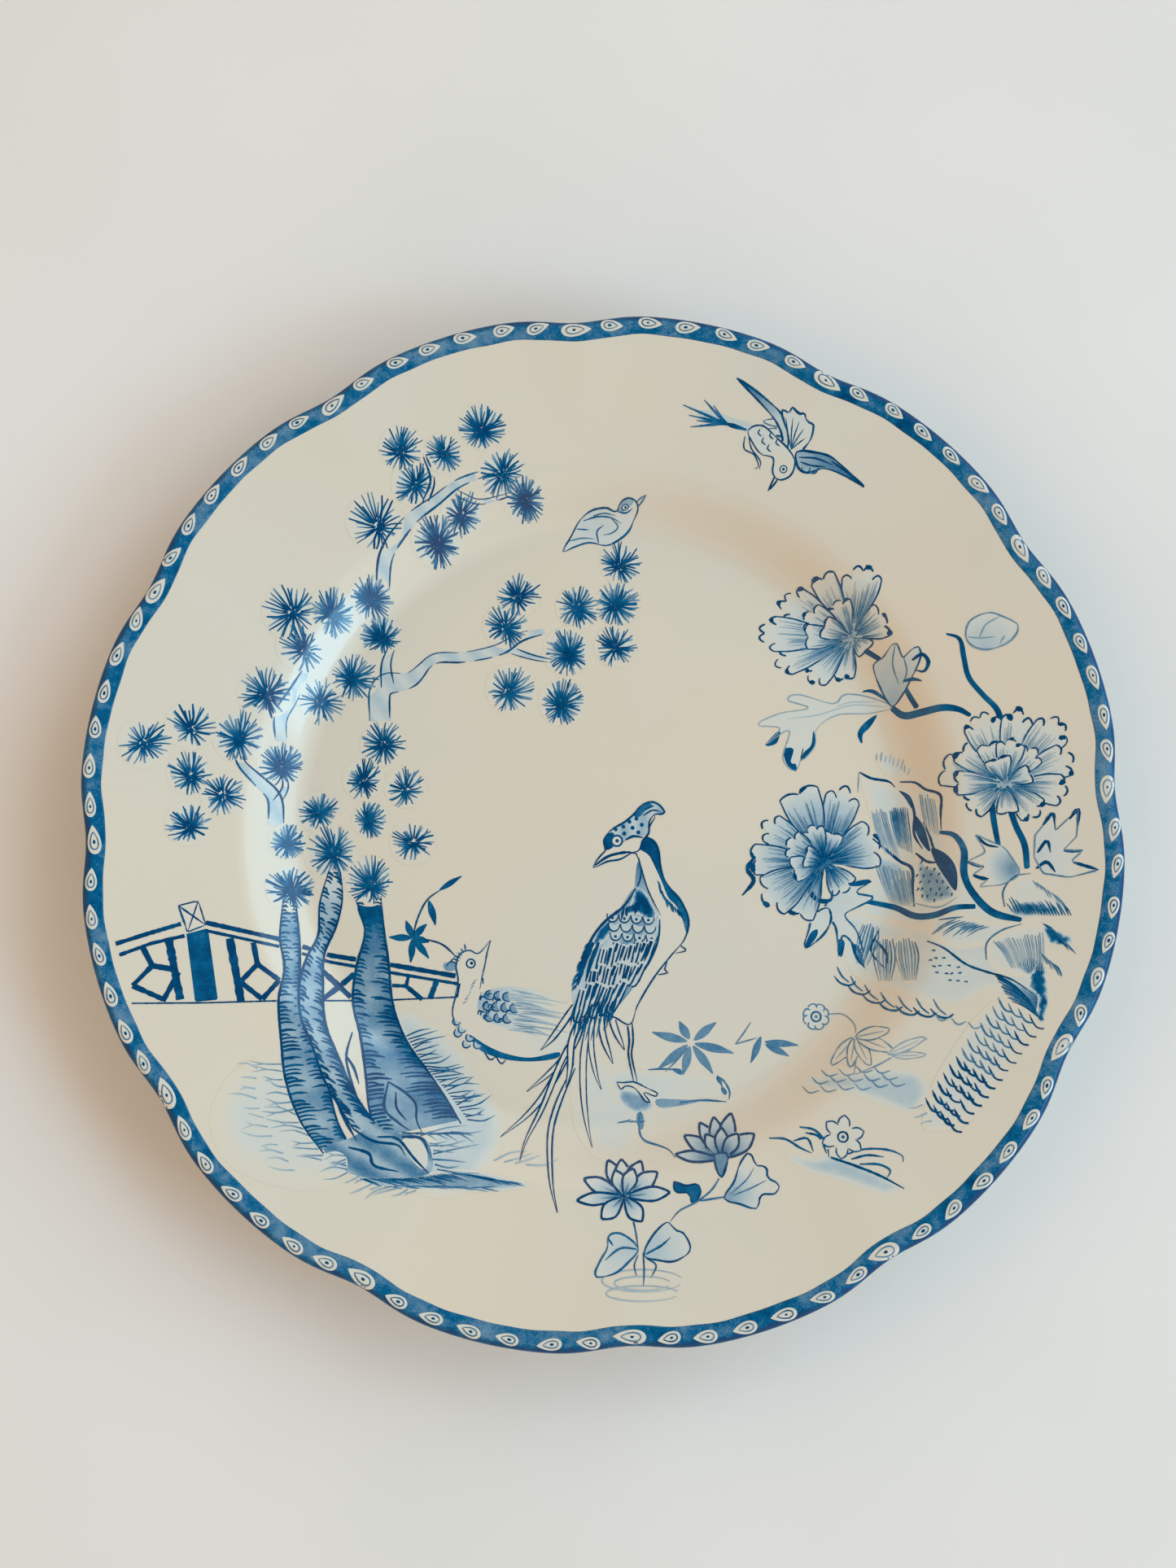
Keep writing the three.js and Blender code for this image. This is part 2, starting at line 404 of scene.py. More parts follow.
def ink_material(name, mottle, shine=1.0):
    """Cobalt under the glaze: its tone follows the ink laid down, broken by the mottling of fired colour."""
    nodes = Nodes(name)
    ink = nodes.add("ShaderNodeAttribute", attribute_name="ink").outputs["Fac"]
    patches = nodes.map(nodes.noise(240, 5, 0.6), 0.25, 0.75, -mottle, mottle)
    grain = nodes.map(nodes.noise(2600, 2), 0.3, 0.7, -0.4 * mottle, 0.4 * mottle)
    tone = nodes.math("ADD", ink, nodes.math("MULTIPLY", ink, nodes.math("ADD", patches, grain)))
    laid = nodes.map(tone, 0.0, 0.1)
    nodes.colour(nodes.mix(laid, ground_colour(nodes), nodes.ramp(tone, INK_STOPS)))
    gloss(nodes, shine)
    return nodes.material


GLAZE_FINISH = glaze_material()
BISCUIT_FINISH = biscuit_material()
LINE_INK = ink_material("cobalt_ink", 0.16)
BAND_INK = ink_material("cobalt_band", 0.24, 0.5)

# ---- the drawing kit: strokes and washes laid on the face ----------------------------------------
WASH, LINE = 0.03, 0.075  # how far washes and strokes stand off the glaze
LINE_SPREAD = 0.006  # the most that one stroke stands higher than another
ROOT = 0.05  # how deep their undersides sit in it
ABOVE_BAND = 0.035  # how much higher the beads lie, over the band
GRID = 1.2  # how finely a wash follows the face
GRID_ROW = 0.87  # how far apart the grid's rows are, as a share of its step
GRID_ROOM = 0.55  # how far it keeps from outlines, as a share of its step
BRUSH = 1.15  # how heavily the brush is pressed
BRUSH_INK = 1.08  # how much ink it holds


def smooth(places, step, closed=False):
    """A smooth line through given places, cut into even steps."""
    corners = np.array(places, float)
    if closed:
        padded = np.vstack([corners[-1:], corners, corners[:2]])
    else:
        padded = np.vstack([2 * corners[0] - corners[1], corners, 2 * corners[-1] - corners[-2]])
    t = np.linspace(0, 1, 9)[:-1][:, None]
    spans = []
    for i in range(1, len(padded) - 2):
        a, b, c, d = padded[i - 1 : i + 3]
        span = b + 0.5 * t * (c - a + t * (2 * a - 5 * b + 4 * c - d + t * (3 * (b - c) + d - a)))
        spans.append(span)
    line = np.vstack(spans + [padded[-2:-1]])
    return even(line, step)


def even(line, step):
    """The line cut again into even steps."""
    lengths = np.hypot(*np.diff(line, axis=0).T)
    reach = np.concatenate([[0], np.cumsum(lengths)])
    count = max(2, int(round(reach[-1] / step)) + 1)
    at = np.linspace(0, reach[-1], count)
    return np.stack([np.interp(at, reach, line[:, k]) for k in (0, 1)], 1)


def closed_line(outline, step, curved):
    """The line round an outline, back to its start."""
    if curved:
        return smooth(outline, step, closed=True)
    return even(np.array(list(outline) + [outline[0]], float), step)


def across(line):
    """The unit direction to the left of a line, at each of its points."""
    along = np.gradient(line, axis=0)
    along /= np.maximum(np.linalg.norm(along, axis=1)[:, None], 1e-9)
    return np.stack([-along[:, 1], along[:, 0]], 1)


def inside(points, outline):
    """Which points lie inside a closed outline."""
    found = ((points >= outline.min(0)) & (points <= outline.max(0))).all(1)
    x, y = points[found, 0][:, None], points[found, 1][:, None]
    ax, ay = outline[:, 0], outline[:, 1]
    bx, by = np.roll(ax, -1), np.roll(ay, -1)
    crosses = (ay > y) != (by > y)
    at = ax + (y - ay) * (bx - ax) / np.where(by == ay, 1e-12, by - ay)
    found[found] = (crosses & (x < at)).sum(1) % 2 == 1
    return found


def polar(x, y, angle, reach):
    """The place at a distance from another, at an angle in degrees counterclockwise from +x."""
    return (x + reach * math.cos(math.radians(angle)), y + reach * math.sin(math.radians(angle)))


def placed(shape, x, y, angle=0.0, scale=1.0):
    """A shape drawn about the origin, turned by an angle in degrees, sized and moved to its place."""
    c, s = scale * math.cos(math.radians(angle)), scale * math.sin(math.radians(angle))
    return [(x + c * u - s * v, y + s * u + c * v) for u, v in shape]


def stretched(shape, x, y, angle, length, width):
    """A shape drawn one unit long and one wide, given its size, turned and moved to its place."""
    return placed([(u * length, v * width) for u, v in shape], x, y, angle)


def distance(points, line):
    """How far each point is from the nearest point of a line."""
    return np.sqrt(((points[:, None] - line[None]) ** 2).sum(2)).min(1)


def fading(x, y, reach, near, far):
    """Ink that changes evenly with the distance from a place."""
    return lambda p: near + (far - near) * np.clip(np.hypot(p[:, 0] - x, p[:, 1] - y) / reach, 0, 1)


class Print:
    """One transfer print: a thin closed sheet of washes, and closed strokes laid over it."""

    def __init__(self, name, seed, rise=0.0, grid=GRID):
        self.name = name
        self.rise = rise
        self.grid = grid
        self.random = random.Random(seed)
        self.strokes = []
        self.washes = []
        self.plan, self.lift, self.ink, self.faces = [], [], [], []
        self.count = 0

    def near(self, value, spread):
        """A value varied by up to a share of itself."""
        return value * (1 + self.random.uniform(-spread, spread))

    def stroke(self, places, width=0.34, ink=0.9, ends=(0.35, 0.2), step=0.7, fade=0.0):
        """A brushed line that swells between its ends. fade is how much of its ink is gone at its end."""
        line = smooth(places, step) if len(places) > 2 else even(np.array(places, float), step)
        t = np.linspace(0, 1, len(line))
        shake = np.array([self.random.uniform(0.85, 1.15) for _ in t])
        half = BRUSH * width / 2 * np.interp(t, (0, 0.25, 0.7, 1), (ends[0], 1, 0.95, ends[1])) * shake
        self.strokes.append((line, half, BRUSH_INK * ink * (1 - fade * t),
            LINE + self.random.uniform(0, LINE_SPREAD)))

    def wash(self, outline, ink=0.25, tone=None, step=0.8, curved=True, hides=False, soft=0.0):
        """A filled patch over the washes before it. tone, if given, turns places into ink. A patch that
        hides also ends the strokes drawn before it at its edge. A soft one fades out to its edge."""
        ring = closed_line(outline, step, curved)[:-1]
        if hides:
            self.cover(ring)
        full = tone or (lambda p: np.full(len(p), ink))
        if soft:
            self.washes.append((ring, lambda p: full(p) * np.clip(distance(p, ring) / soft, 0, 1)))
        else:
            self.washes.append((ring, full))

    def dot(self, x, y, radius, ink=0.9, squash=1.0, turn_by=0.0):
        """A small round or oval wash."""
        ring = [polar(0, 0, a, radius) for a in range(0, 360, 45)]
        self.wash(placed([(u, v * squash) for u, v in ring], x, y, turn_by), ink,
            step=max(0.25, radius * 0.5))

    def cover(self, ring):
        """The strokes so far stop at a closed outline, as if they passed behind it."""
        low, high = ring.min(0), ring.max(0)
        kept = []
        for line, half, tone, lift in self.strokes:
            if (line.max(0) < low).any() or (line.min(0) > high).any():
                kept.append((line, half, tone, lift))
                continue
            seen = np.concatenate([[False], ~inside(line, ring), [False]])
            turns = np.flatnonzero(seen[1:] != seen[:-1])
            for start, end in zip(turns[::2], turns[1::2]):
                if end - start > 1:
                    kept.append((line[start:end], half[start:end], tone[start:end], lift))
        self.strokes = kept

    def put(self, plan, lift, faces, ink):
        """Add points and faces, with the ink at each corner of each face."""
        self.plan.append(plan)
        self.lift.append(lift)
        self.faces += [tuple(self.count + i for i in face) for face in faces]
        self.ink.append(ink)
        self.count += len(plan)

    def lay_stroke(self, line, half, tone, lift):
        """The thin solid of one stroke: a flat top over a keel sunk in the glaze."""
        count = len(line)
        side = across(line) * half[:, None]
        faces = [(count, 0, 2 * count), (count - 1, 2 * count - 1, 3 * count - 1)]
        for left in range(count - 1):
            right, keel = count + left, 2 * count + left
            faces += [(left, right, right + 1, left + 1), (left + 1, keel + 1, keel, left),
                (right, keel, keel + 1, right + 1)]
        lifts = np.repeat([lift, lift, -ROOT], count)
        corners = [i % count for face in faces for i in face]
        self.put(np.vstack([line + side, line - side, line]), lifts, faces, tone[corners])

    def fill(self):
        """Points inside the washes, spaced so that the sheet follows the face."""
        corners = np.vstack([ring for ring, _ in self.washes])
        tree = KDTree(len(corners))
        for i, corner in enumerate(corners):
            tree.insert((*corner, 0), i)
        tree.balance()
        low, high = corners.min(0), corners.max(0)
        columns = np.arange(low[0], high[0], self.grid)
        rows = np.arange(low[1], high[1], self.grid * GRID_ROW)
        places = np.array([(x + self.grid / 2 * (j % 2), y) for j, y in enumerate(rows) for x in columns])
        within = np.zeros(len(places), bool)
        for ring, _ in self.washes:
            within |= inside(places, ring)
        clear = [p for p in places[within] if tree.find((*p, 0))[2] > GRID_ROOM * self.grid]
        return corners, np.array(clear).reshape(-1, 2)

    def lay_washes(self):
        """All washes as one closed sheet, each part of it inked by the last wash laid there."""
        corners, fill = self.fill()
        edges = []
        for ring, _ in self.washes:
            start = len(edges)
            edges += [(start + i, start + (i + 1) % len(ring)) for i in range(len(ring))]
        points = [Vector(p) for p in np.vstack([corners, fill])]
        plan, _, triangles = delaunay_2d_cdt(points, edges, [], 0, 1e-4, False)[:3]
        plan = np.array([(p.x, p.y) for p in plan])
        triangles = np.array(triangles)
        u = plan[triangles[:, 1]] - plan[triangles[:, 0]]
        v = plan[triangles[:, 2]] - plan[triangles[:, 0]]
        flipped = u[:, 0] * v[:, 1] - u[:, 1] * v[:, 0] < 0
        triangles[flipped] = triangles[flipped][:, ::-1]
        middles = plan[triangles].mean(1)
        top = np.full(len(triangles), -1)
        for i, (ring, _) in enumerate(self.washes):
            top[inside(middles, ring)] = i
        triangles = triangles[top >= 0]
        top = top[top >= 0]
        ink = np.zeros((len(triangles), 3))
        for i, (_, tone) in enumerate(self.washes):
            ink[top == i] = tone(plan[triangles[top == i]].reshape(-1, 2)).reshape(-1, 3)
        count = len(plan)
        sides = {}
        for triangle, tones in zip(triangles.tolist(), ink):
            for k in range(3):
                a, b = triangle[k], triangle[(k + 1) % 3]
                if sides.pop((b, a), None) is None:
                    sides[(a, b)] = tones[k]
        faces = triangles.tolist() + (triangles[:, ::-1] + count).tolist()
        faces += [(b, a, count + a, count + b) for a, b in sides]
        rim = np.repeat(list(sides.values()), 4)
        lifts = np.repeat([WASH, -ROOT], count)
        self.put(np.vstack([plan, plan]), lifts, faces, np.concatenate([ink.ravel(), ink[:, ::-1].ravel(),
            rim]))

    def finish(self, slot, *nodes):
        """Lay all of it on the face, as one object."""
        if self.washes:
            self.lay_washes()
        for stroke in self.strokes:
            self.lay_stroke(*stroke)
        points, normals = drape(np.vstack(self.plan), np.concatenate(self.lift) + self.rise)
        obj = add_mesh(self.name, points, self.faces, LINE_INK, normals)
        paint(obj, "ink", np.concatenate(self.ink))
        return hold(obj, slot, *nodes)


# ---- the plate: clay, and the glaze over it ------------------------------------------------------
def coat_section(path):
    """The closed section of the glaze along a path that runs with the clay on its right."""
    outer, inner = path, inset(path, GLAZE)[::-1]
    return np.vstack([inner, outer] if path[-1, 0] == 0 else [outer, inner])


def clay_section():
    """The closed section of the clay, a skin's depth in from the surface and rounded at the foot."""
    inner, outer = FOOT_INNER + SKIN, FOOT_OUTER - SKIN
    corner = np.linspace(0, math.pi / 2, 5)
    ease = 0.8
    heel = [(outer - ease + ease * math.cos(a), ease - ease * math.sin(a)) for a in corner]
    toe = [(inner + ease - ease * math.sin(a), ease - ease * math.cos(a)) for a in corner]
    return np.vstack([inset(GLAZED, SKIN), heel, toe, inset(recess_profile(), SKIN)])


def make_plate():
    """The clay, the glaze over the plate, and the glaze in the hollow under it."""
    clay = turned_solid("clay_body_shape", clay_section(), BISCUIT_FINISH)
    hold(clay, "biscuit", "clay_body")
    coat = turned_solid("glaze_over_plate", coat_section(GLAZED), GLAZE_FINISH)
    hold(coat, "glaze", "glaze_coat")
    recess = turned_solid("glaze_in_recess", coat_section(recess_profile()), GLAZE_FINISH)
    hold(recess, "glaze", "recess_glaze")


# ---- the cobalt band and its beads ---------------------------------------------------------------
def make_band():
    """A painted band from the face over the lip to its underside, with an edge drawn by hand."""
    wander = sum(BAND_WANDER * np.sin(k * ANGLES + k * k) for k in (5, 13, 29, 47, 71))
    inner_edge = RIM_RADIUS - BAND_WIDTH + wander
    top = lip_point(math.pi / 2 + LIP_SLOPE)
    rows = []
    for t in np.linspace(0, 1, 9)[:-1]:
        radius = inner_edge + t * (top[0] - inner_edge)
        rows.append((radius, np.interp(radius, FACE[:, 0], FACE[:, 1])))
    for r, z in lip_profile():
        rows.append((np.full(COLUMNS, r), np.full(COLUMNS, z)))
    back = back_profile()[::-1]
    for reach in (1, 2):
        radius = lip_profile()[-1][0] - reach + reach * wander
        rows.append((radius, np.interp(radius, back[:, 0], back[:, 1])))
    section = np.array([[r, z] for r, z in rows])  # row, radius or height, column
    along = np.gradient(section, axis=0)
    along /= np.linalg.norm(along, axis=1)[:, None]
    out = np.stack([-along[:, 1], along[:, 0]], 1)
    closed = np.concatenate([section + BAND_LIFT * out, (section - BAND_ROOT * out)[::-1]])
    radius = closed[:, 0] - share(closed[:, 0]) * dip(ANGLES)[None]
    grid = np.stack([radius * np.sin(ANGLES), radius * np.cos(ANGLES), closed[:, 1]], 2) * MM
    faces = ring_faces(len(closed), len(closed))
    band = add_mesh("cobalt_band", grid.reshape(-1, 3), faces, BAND_INK)
    drift = 0.04 * np.sin(3 * ANGLES) + 0.04 * np.sin(11 * ANGLES + 1)
    rows = len(section)
    # The ink is set darker round the lip and under it than on the face: painted shade.
    painted_lip_shade = np.interp(np.arange(rows), (0, 9, 12, rows), (0.78, 0.76, 1.0, 1.0))  # darker round the lip
    tone = np.concatenate([painted_lip_shade, painted_lip_shade[::-1]])[:, None] + drift
    after = np.roll(tone, -1, axis=0)
    corners = np.stack([tone, np.roll(tone, -1, axis=1), np.roll(after, -1, axis=1), after], 2)
    paint(band, "ink", corners.ravel())
    hold(band, "cobalt_print", "edge_band_print")


def teardrop(along, width):
    """A drop lying along +x, its point at +x."""
    turns = np.linspace(0, 2 * math.pi, 15)[:-1]
    return [(along * math.cos(t), width * math.sin(t) * abs(math.sin(t / 2)) ** 0.8 * 1.25) for t in turns]


def make_beads():
    """White drops along the band, the one on each notch larger, each with a ring and a dot."""
    art = Print("beads_on_band", 7, ABOVE_BAND, BEAD_GRID)
    count = LOBES * BEADS_PER_LOBE
    for i in range(count):
        half, wide = NOTCH_BEAD if i % BEADS_PER_LOBE == 0 else BEAD
        angle = NOTCH_TURN + (i + art.random.uniform(-0.06, 0.06)) * 2 * math.pi / count
        reach = RIM_RADIUS - float(dip(np.array(angle))) - BEAD_FROM_RIM + art.random.uniform(-0.12, 0.12)
        drop = teardrop(art.near(half, 0.08), art.near(wide, 0.08))
        turn_by = -math.degrees(angle) + art.random.uniform(-BEAD_SLANT, BEAD_SLANT)
        middle = (reach * math.sin(angle), reach * math.cos(angle))
        art.wash(placed(drop, *middle, turn_by), 0.06, step=0.45)
        ring = placed([(u * 0.6 - 0.3, v * 0.58) for u, v in drop], *middle, turn_by)
        art.stroke(ring + ring[:1], 0.28, art.random.uniform(0.55, 0.8), (0.7, 0.5), step=0.45)
        mark = placed([(-0.6, 0)], *middle, turn_by)[0]
        art.dot(*mark, art.near(0.5, 0.2), 0.95, squash=0.6, turn_by=turn_by)
    art.finish("cobalt_print")


# ---- marks that repeat ---------------------------------------------------------------------------
# The places in the drawings below were read off the photographed print, in millimetres.
def edge(art, outline, width=0.42, ink=0.9, pieces=3, curved=True):
    """A shape's outline in a few brush strokes that swell, thin and nearly meet."""
    ring = closed_line(outline, 0.7, curved)
    cuts = np.linspace(0, len(ring), pieces + 1).astype(int)
    for start, end in zip(cuts[:-1], cuts[1:]):
        piece = ring[start : end + 1]
        if len(piece) > 2:
            art.stroke(piece[::2].tolist() + [piece[-1].tolist()], art.near(width, 0.2),
                art.near(ink, 0.08), (0.5, 0.4))


def patch(art, outline, fill=0.1, width=0.42, ink=0.9, tone=None, pieces=3, curved=True):
    """A washed shape with a brushed outline, in front of what was drawn before it."""
    art.wash(outline, fill, tone, curved=curved, hides=True)
    edge(art, outline, width, ink, pieces, curved)


def strokes(art, lines, width=0.36, ink=0.9):
    """Lines brushed alike, each with a little more or less width and ink."""
    for line in lines:
        art.stroke(line, art.near(width, 0.15), art.near(ink, 0.06), (0.5, 0.25))


def hatch(art, line, angle, length, gap=1.5, width=0.36, ink=0.9, droop=0.15):
    """Short strokes set off along a line, each at an angle in degrees."""
    for x, y in smooth(line, gap):
        heading = angle + art.random.uniform(-8, 8)
        reach = art.near(length, 0.3)
        mid = polar(x, y, heading, reach / 2)
        mid = (mid[0], mid[1] + droop * reach / 2)
        tip = polar(x, y, heading, reach)
        art.stroke([(x, y), mid, tip], art.near(width, 0.2), art.near(ink, 0.12), fade=0.2)


def band_between(left, right):
    """The outline that runs up one line and back down another."""
    return list(left) + list(right)[::-1]


def tapered(line, widths, step=0.8):
    """The two edges of a stem, limb or feather of varying width along a line."""
    middle = smooth(line, step)
    half = np.interp(np.linspace(0, 1, len(middle)), np.linspace(0, 1, len(widths)), widths) / 2
    side = across(middle) * half[:, None]
    return middle + side, middle - side


def blade(art, x, y, angle, length, width, ink):
    """A solid pointed leaf, as on bamboo."""
    shape = [(0, 0), (0.28, 0.42), (0.55, 0.5), (0.8, 0.28), (1.0, 0), (0.8, -0.2), (0.5, -0.45),
        (0.22, -0.36)]
    art.wash(stretched(shape, x, y, angle, length, width), ink, step=0.6)


def tuft(art, x, y, size, squash, turn_by):
    """Pine needles round a dark heart that sits off the middle, over a pale bloom of colour."""
    weight = art.random.uniform(0.55, 1)
    ring = [polar(x, y, a, size * 1.05) for a in range(0, 360, 24)]
    art.wash(ring, 0.26 * weight, soft=size * 0.8)
    lean = art.random.uniform(0.05, 0.28) * size
    heart = polar(x, y, art.random.uniform(200, 340), lean)
    count = int(50 * weight)
    ink = art.near(0.92, 0.07)
    for i in range(count):
        angle = 360 * (i + art.random.uniform(-0.45, 0.45)) / count
        reach = size * art.random.choice((0.7, 0.88, 0.98, 1.04))
        u, v = polar(0, 0, angle, reach)
        tip = placed([(u, v * squash)], x, y, turn_by)[0]
        root = art.random.uniform(0.08, 0.3)
        start = tuple(heart[k] + (tip[k] - heart[k]) * root for k in (0, 1))
        curl = art.random.uniform(-0.4, 0.4)
        mid = ((start[0] + tip[0]) / 2 + curl, (start[1] + tip[1]) / 2 - curl)
        art.stroke([start, mid, tip], art.near(0.4, 0.3), ink, (1, 0.7), step=1.2,
            fade=art.random.uniform(0.1, 0.6))
    core = [polar(*heart, a, weight * size * art.random.uniform(0.12, 0.26)) for a in range(0, 360, 40)]
    art.wash(core, ink, step=0.5)


def eye(art, middle, pupil, radii, inks, squash=1.0, turn_by=0.0):
    """A dark ring, the white within it, and the pupil: each one's radius and ink."""
    for i in (0, 1):
        art.dot(*middle, radii[i], inks[i], squash, turn_by)
    art.dot(*pupil, radii[2], inks[2])


def branch(art, line, *widths):
    """A tapering limb: a pale wash between broken dark edges."""
    left, right = tapered(line, widths)
    art.wash(band_between(left[::2], right[::2]),
        tone=lambda p: 0.22 + 0.07 * np.sin(0.9 * p[:, 0] + 0.7 * p[:, 1]))
    for side in (left, right):
        spot = art.random.randint(0, 2)
        while spot < len(side) - 4:
            end = min(len(side), spot + art.random.randint(8, 26))
            art.stroke(side[spot:end:2].tolist(), art.near(0.38, 0.4), art.near(0.85, 0.1), (0.4, 0.4))
            spot = end + art.random.randint(0, 2)


# ---- the pine tree -------------------------------------------------------------------------------
LEFT_CROWN = [
    (-80.5, 54, 7), (-70, 54.5, 6.2), (-60, 59, 5.5), (-58, 50, 5.5), (-78, 45, 6), (-64.5, 38.5, 6),
    (-73, 32, 6), (-87, 33, 6.5), (-116, 19, 6.5), (-105, 24, 6.2), (-93, 21.5, 6.6), (-105, 11.5, 5.6),
    (-96.5, 6, 5.6), (-83, 15, 5.6), (-105, -1.5, 5.6), (-57, 21, 5.8), (-62, 11.5, 5.4), (-51, 9.5, 5.4),
    (-73.5, 3, 5.4), (-60, 1, 4.8), (-81, -5, 4.6), (-70, -7.5, 7), (-49, -5, 5.8), (-80, -17, 6),
    (-60, -15, 6.4),
]
TOP_CROWN = [
    (-31, 103, 6), (-52, 97, 5.6), (-41, 96, 5), (-49, 88, 5.6), (-26, 91, 6.6), (-20, 85, 5.6),
    (-36, 81, 5.6), (-59, 78, 7.2), (-43, 74, 6.4),
]
RIGHT_CROWN = [
    (-21.5, 61, 5.8), (-25, 52.5, 6), (-6, 57.5, 5.8), (4.5, 58.5, 5.8), (5.5, 69.5, 5.8), (4, 47, 5.6),
    (-9, 45.5, 6.2), (-23.5, 35.5, 6.6), (-10, 32, 6.2),
]
LEFT_TRUNK = (
    [(-81.8, -20), (-82, -30), (-80.5, -38), (-81.5, -46), (-80.5, -56), (-79, -66), (-75, -76),
        (-69, -84)],
    [(-79, -19), (-77.5, -30), (-77, -37), (-76.5, -44), (-74, -54), (-69, -66), (-66, -76), (-62, -83)],
)
MIDDLE_TRUNK = (
    [(-70.5, -12), (-72.8, -21), (-73, -29), (-75.5, -35), (-76.8, -42), (-76, -50), (-73, -57), (-69, -67),
        (-62, -78)],
    [(-67.5, -13), (-67, -20), (-68.5, -27), (-71.3, -34), (-71.2, -43), (-70, -52), (-66, -61),
        (-61.5, -70), (-54, -80)],
)
RIGHT_TRUNK = (
    [(-63.5, -20), (-61, -28), (-63, -37), (-63.8, -46), (-61.5, -55), (-59.5, -65), (-58, -74),
        (-55, -80)],
    [(-57, -19), (-56, -28), (-54.8, -36), (-53.5, -47), (-50, -56), (-45, -63), (-40, -70), (-35.5, -77)],
)
TRUNKS = (RIGHT_TRUNK, LEFT_TRUNK, MIDDLE_TRUNK)


def bark(art, trunk, ink, gap, from_left, from_right):
    """One trunk: a wash that darkens to one edge, and strokes across it from both edges."""
    left, right = (smooth(side, 1.0) for side in trunk)

    def tone(p):
        over = distance(p, left) / (distance(p, left) + distance(p, right) + 1e-6)
        start = np.clip((-16 - p[:, 1]) / 6, 0.4, 1)
        return start * ink * (0.8 + 0.9 * (over - 0.35) ** 2 + 0.12 * np.sin(0.6 * p[:, 1]))

    art.wash(band_between(left[::2], right[::2]), tone=tone, curved=False, hides=True)
    count = int(min(len(left), len(right)) / gap)
    for i in range(1, count):
        t = (i + art.random.uniform(-0.25, 0.25)) / count
        a = left[int(t * (len(left) - 1))]
        b = right[int(t * (len(right) - 1))]
        for start, end, reach in ((a, b, from_left), (b, a, from_right)):
            fall = (0, 0.55 if start is b else -0.55)
            tip = start + (end - start) * art.near(reach, 0.4) + fall
            bend = (start + tip) / 2 + (0, 0.3)
            art.stroke([tuple(start), tuple(bend), tuple(tip)], art.near(0.52, 0.3), 0.9, (1, 0.35),
                fade=0.1)
    for side in trunk:
        art.stroke(side, 0.55, 0.95, (0.3, 0.5))


def hairs(art, line, angle, length, gap, spread=12, ink=0.75):
    """Grass that lies out from a line in long thin strokes, some of them forked."""
    for x, y in smooth(line, gap):
        heading = angle + art.random.uniform(-spread, spread)
        reach = art.near(length, 0.4)
        curl = art.random.uniform(-14, 14)
        mid = polar(x, y, heading + curl, reach * 0.55)
        tip = polar(x, y, heading, reach)
        art.stroke([(x, y), mid, tip], art.near(0.3, 0.2), ink, (0.9, 0.25), fade=0.4)
        if art.random.random() < 0.4:
            art.stroke([mid, polar(*mid, heading + 2.2 * curl, reach * 0.35)], 0.24, ink * 0.8, fade=0.4)


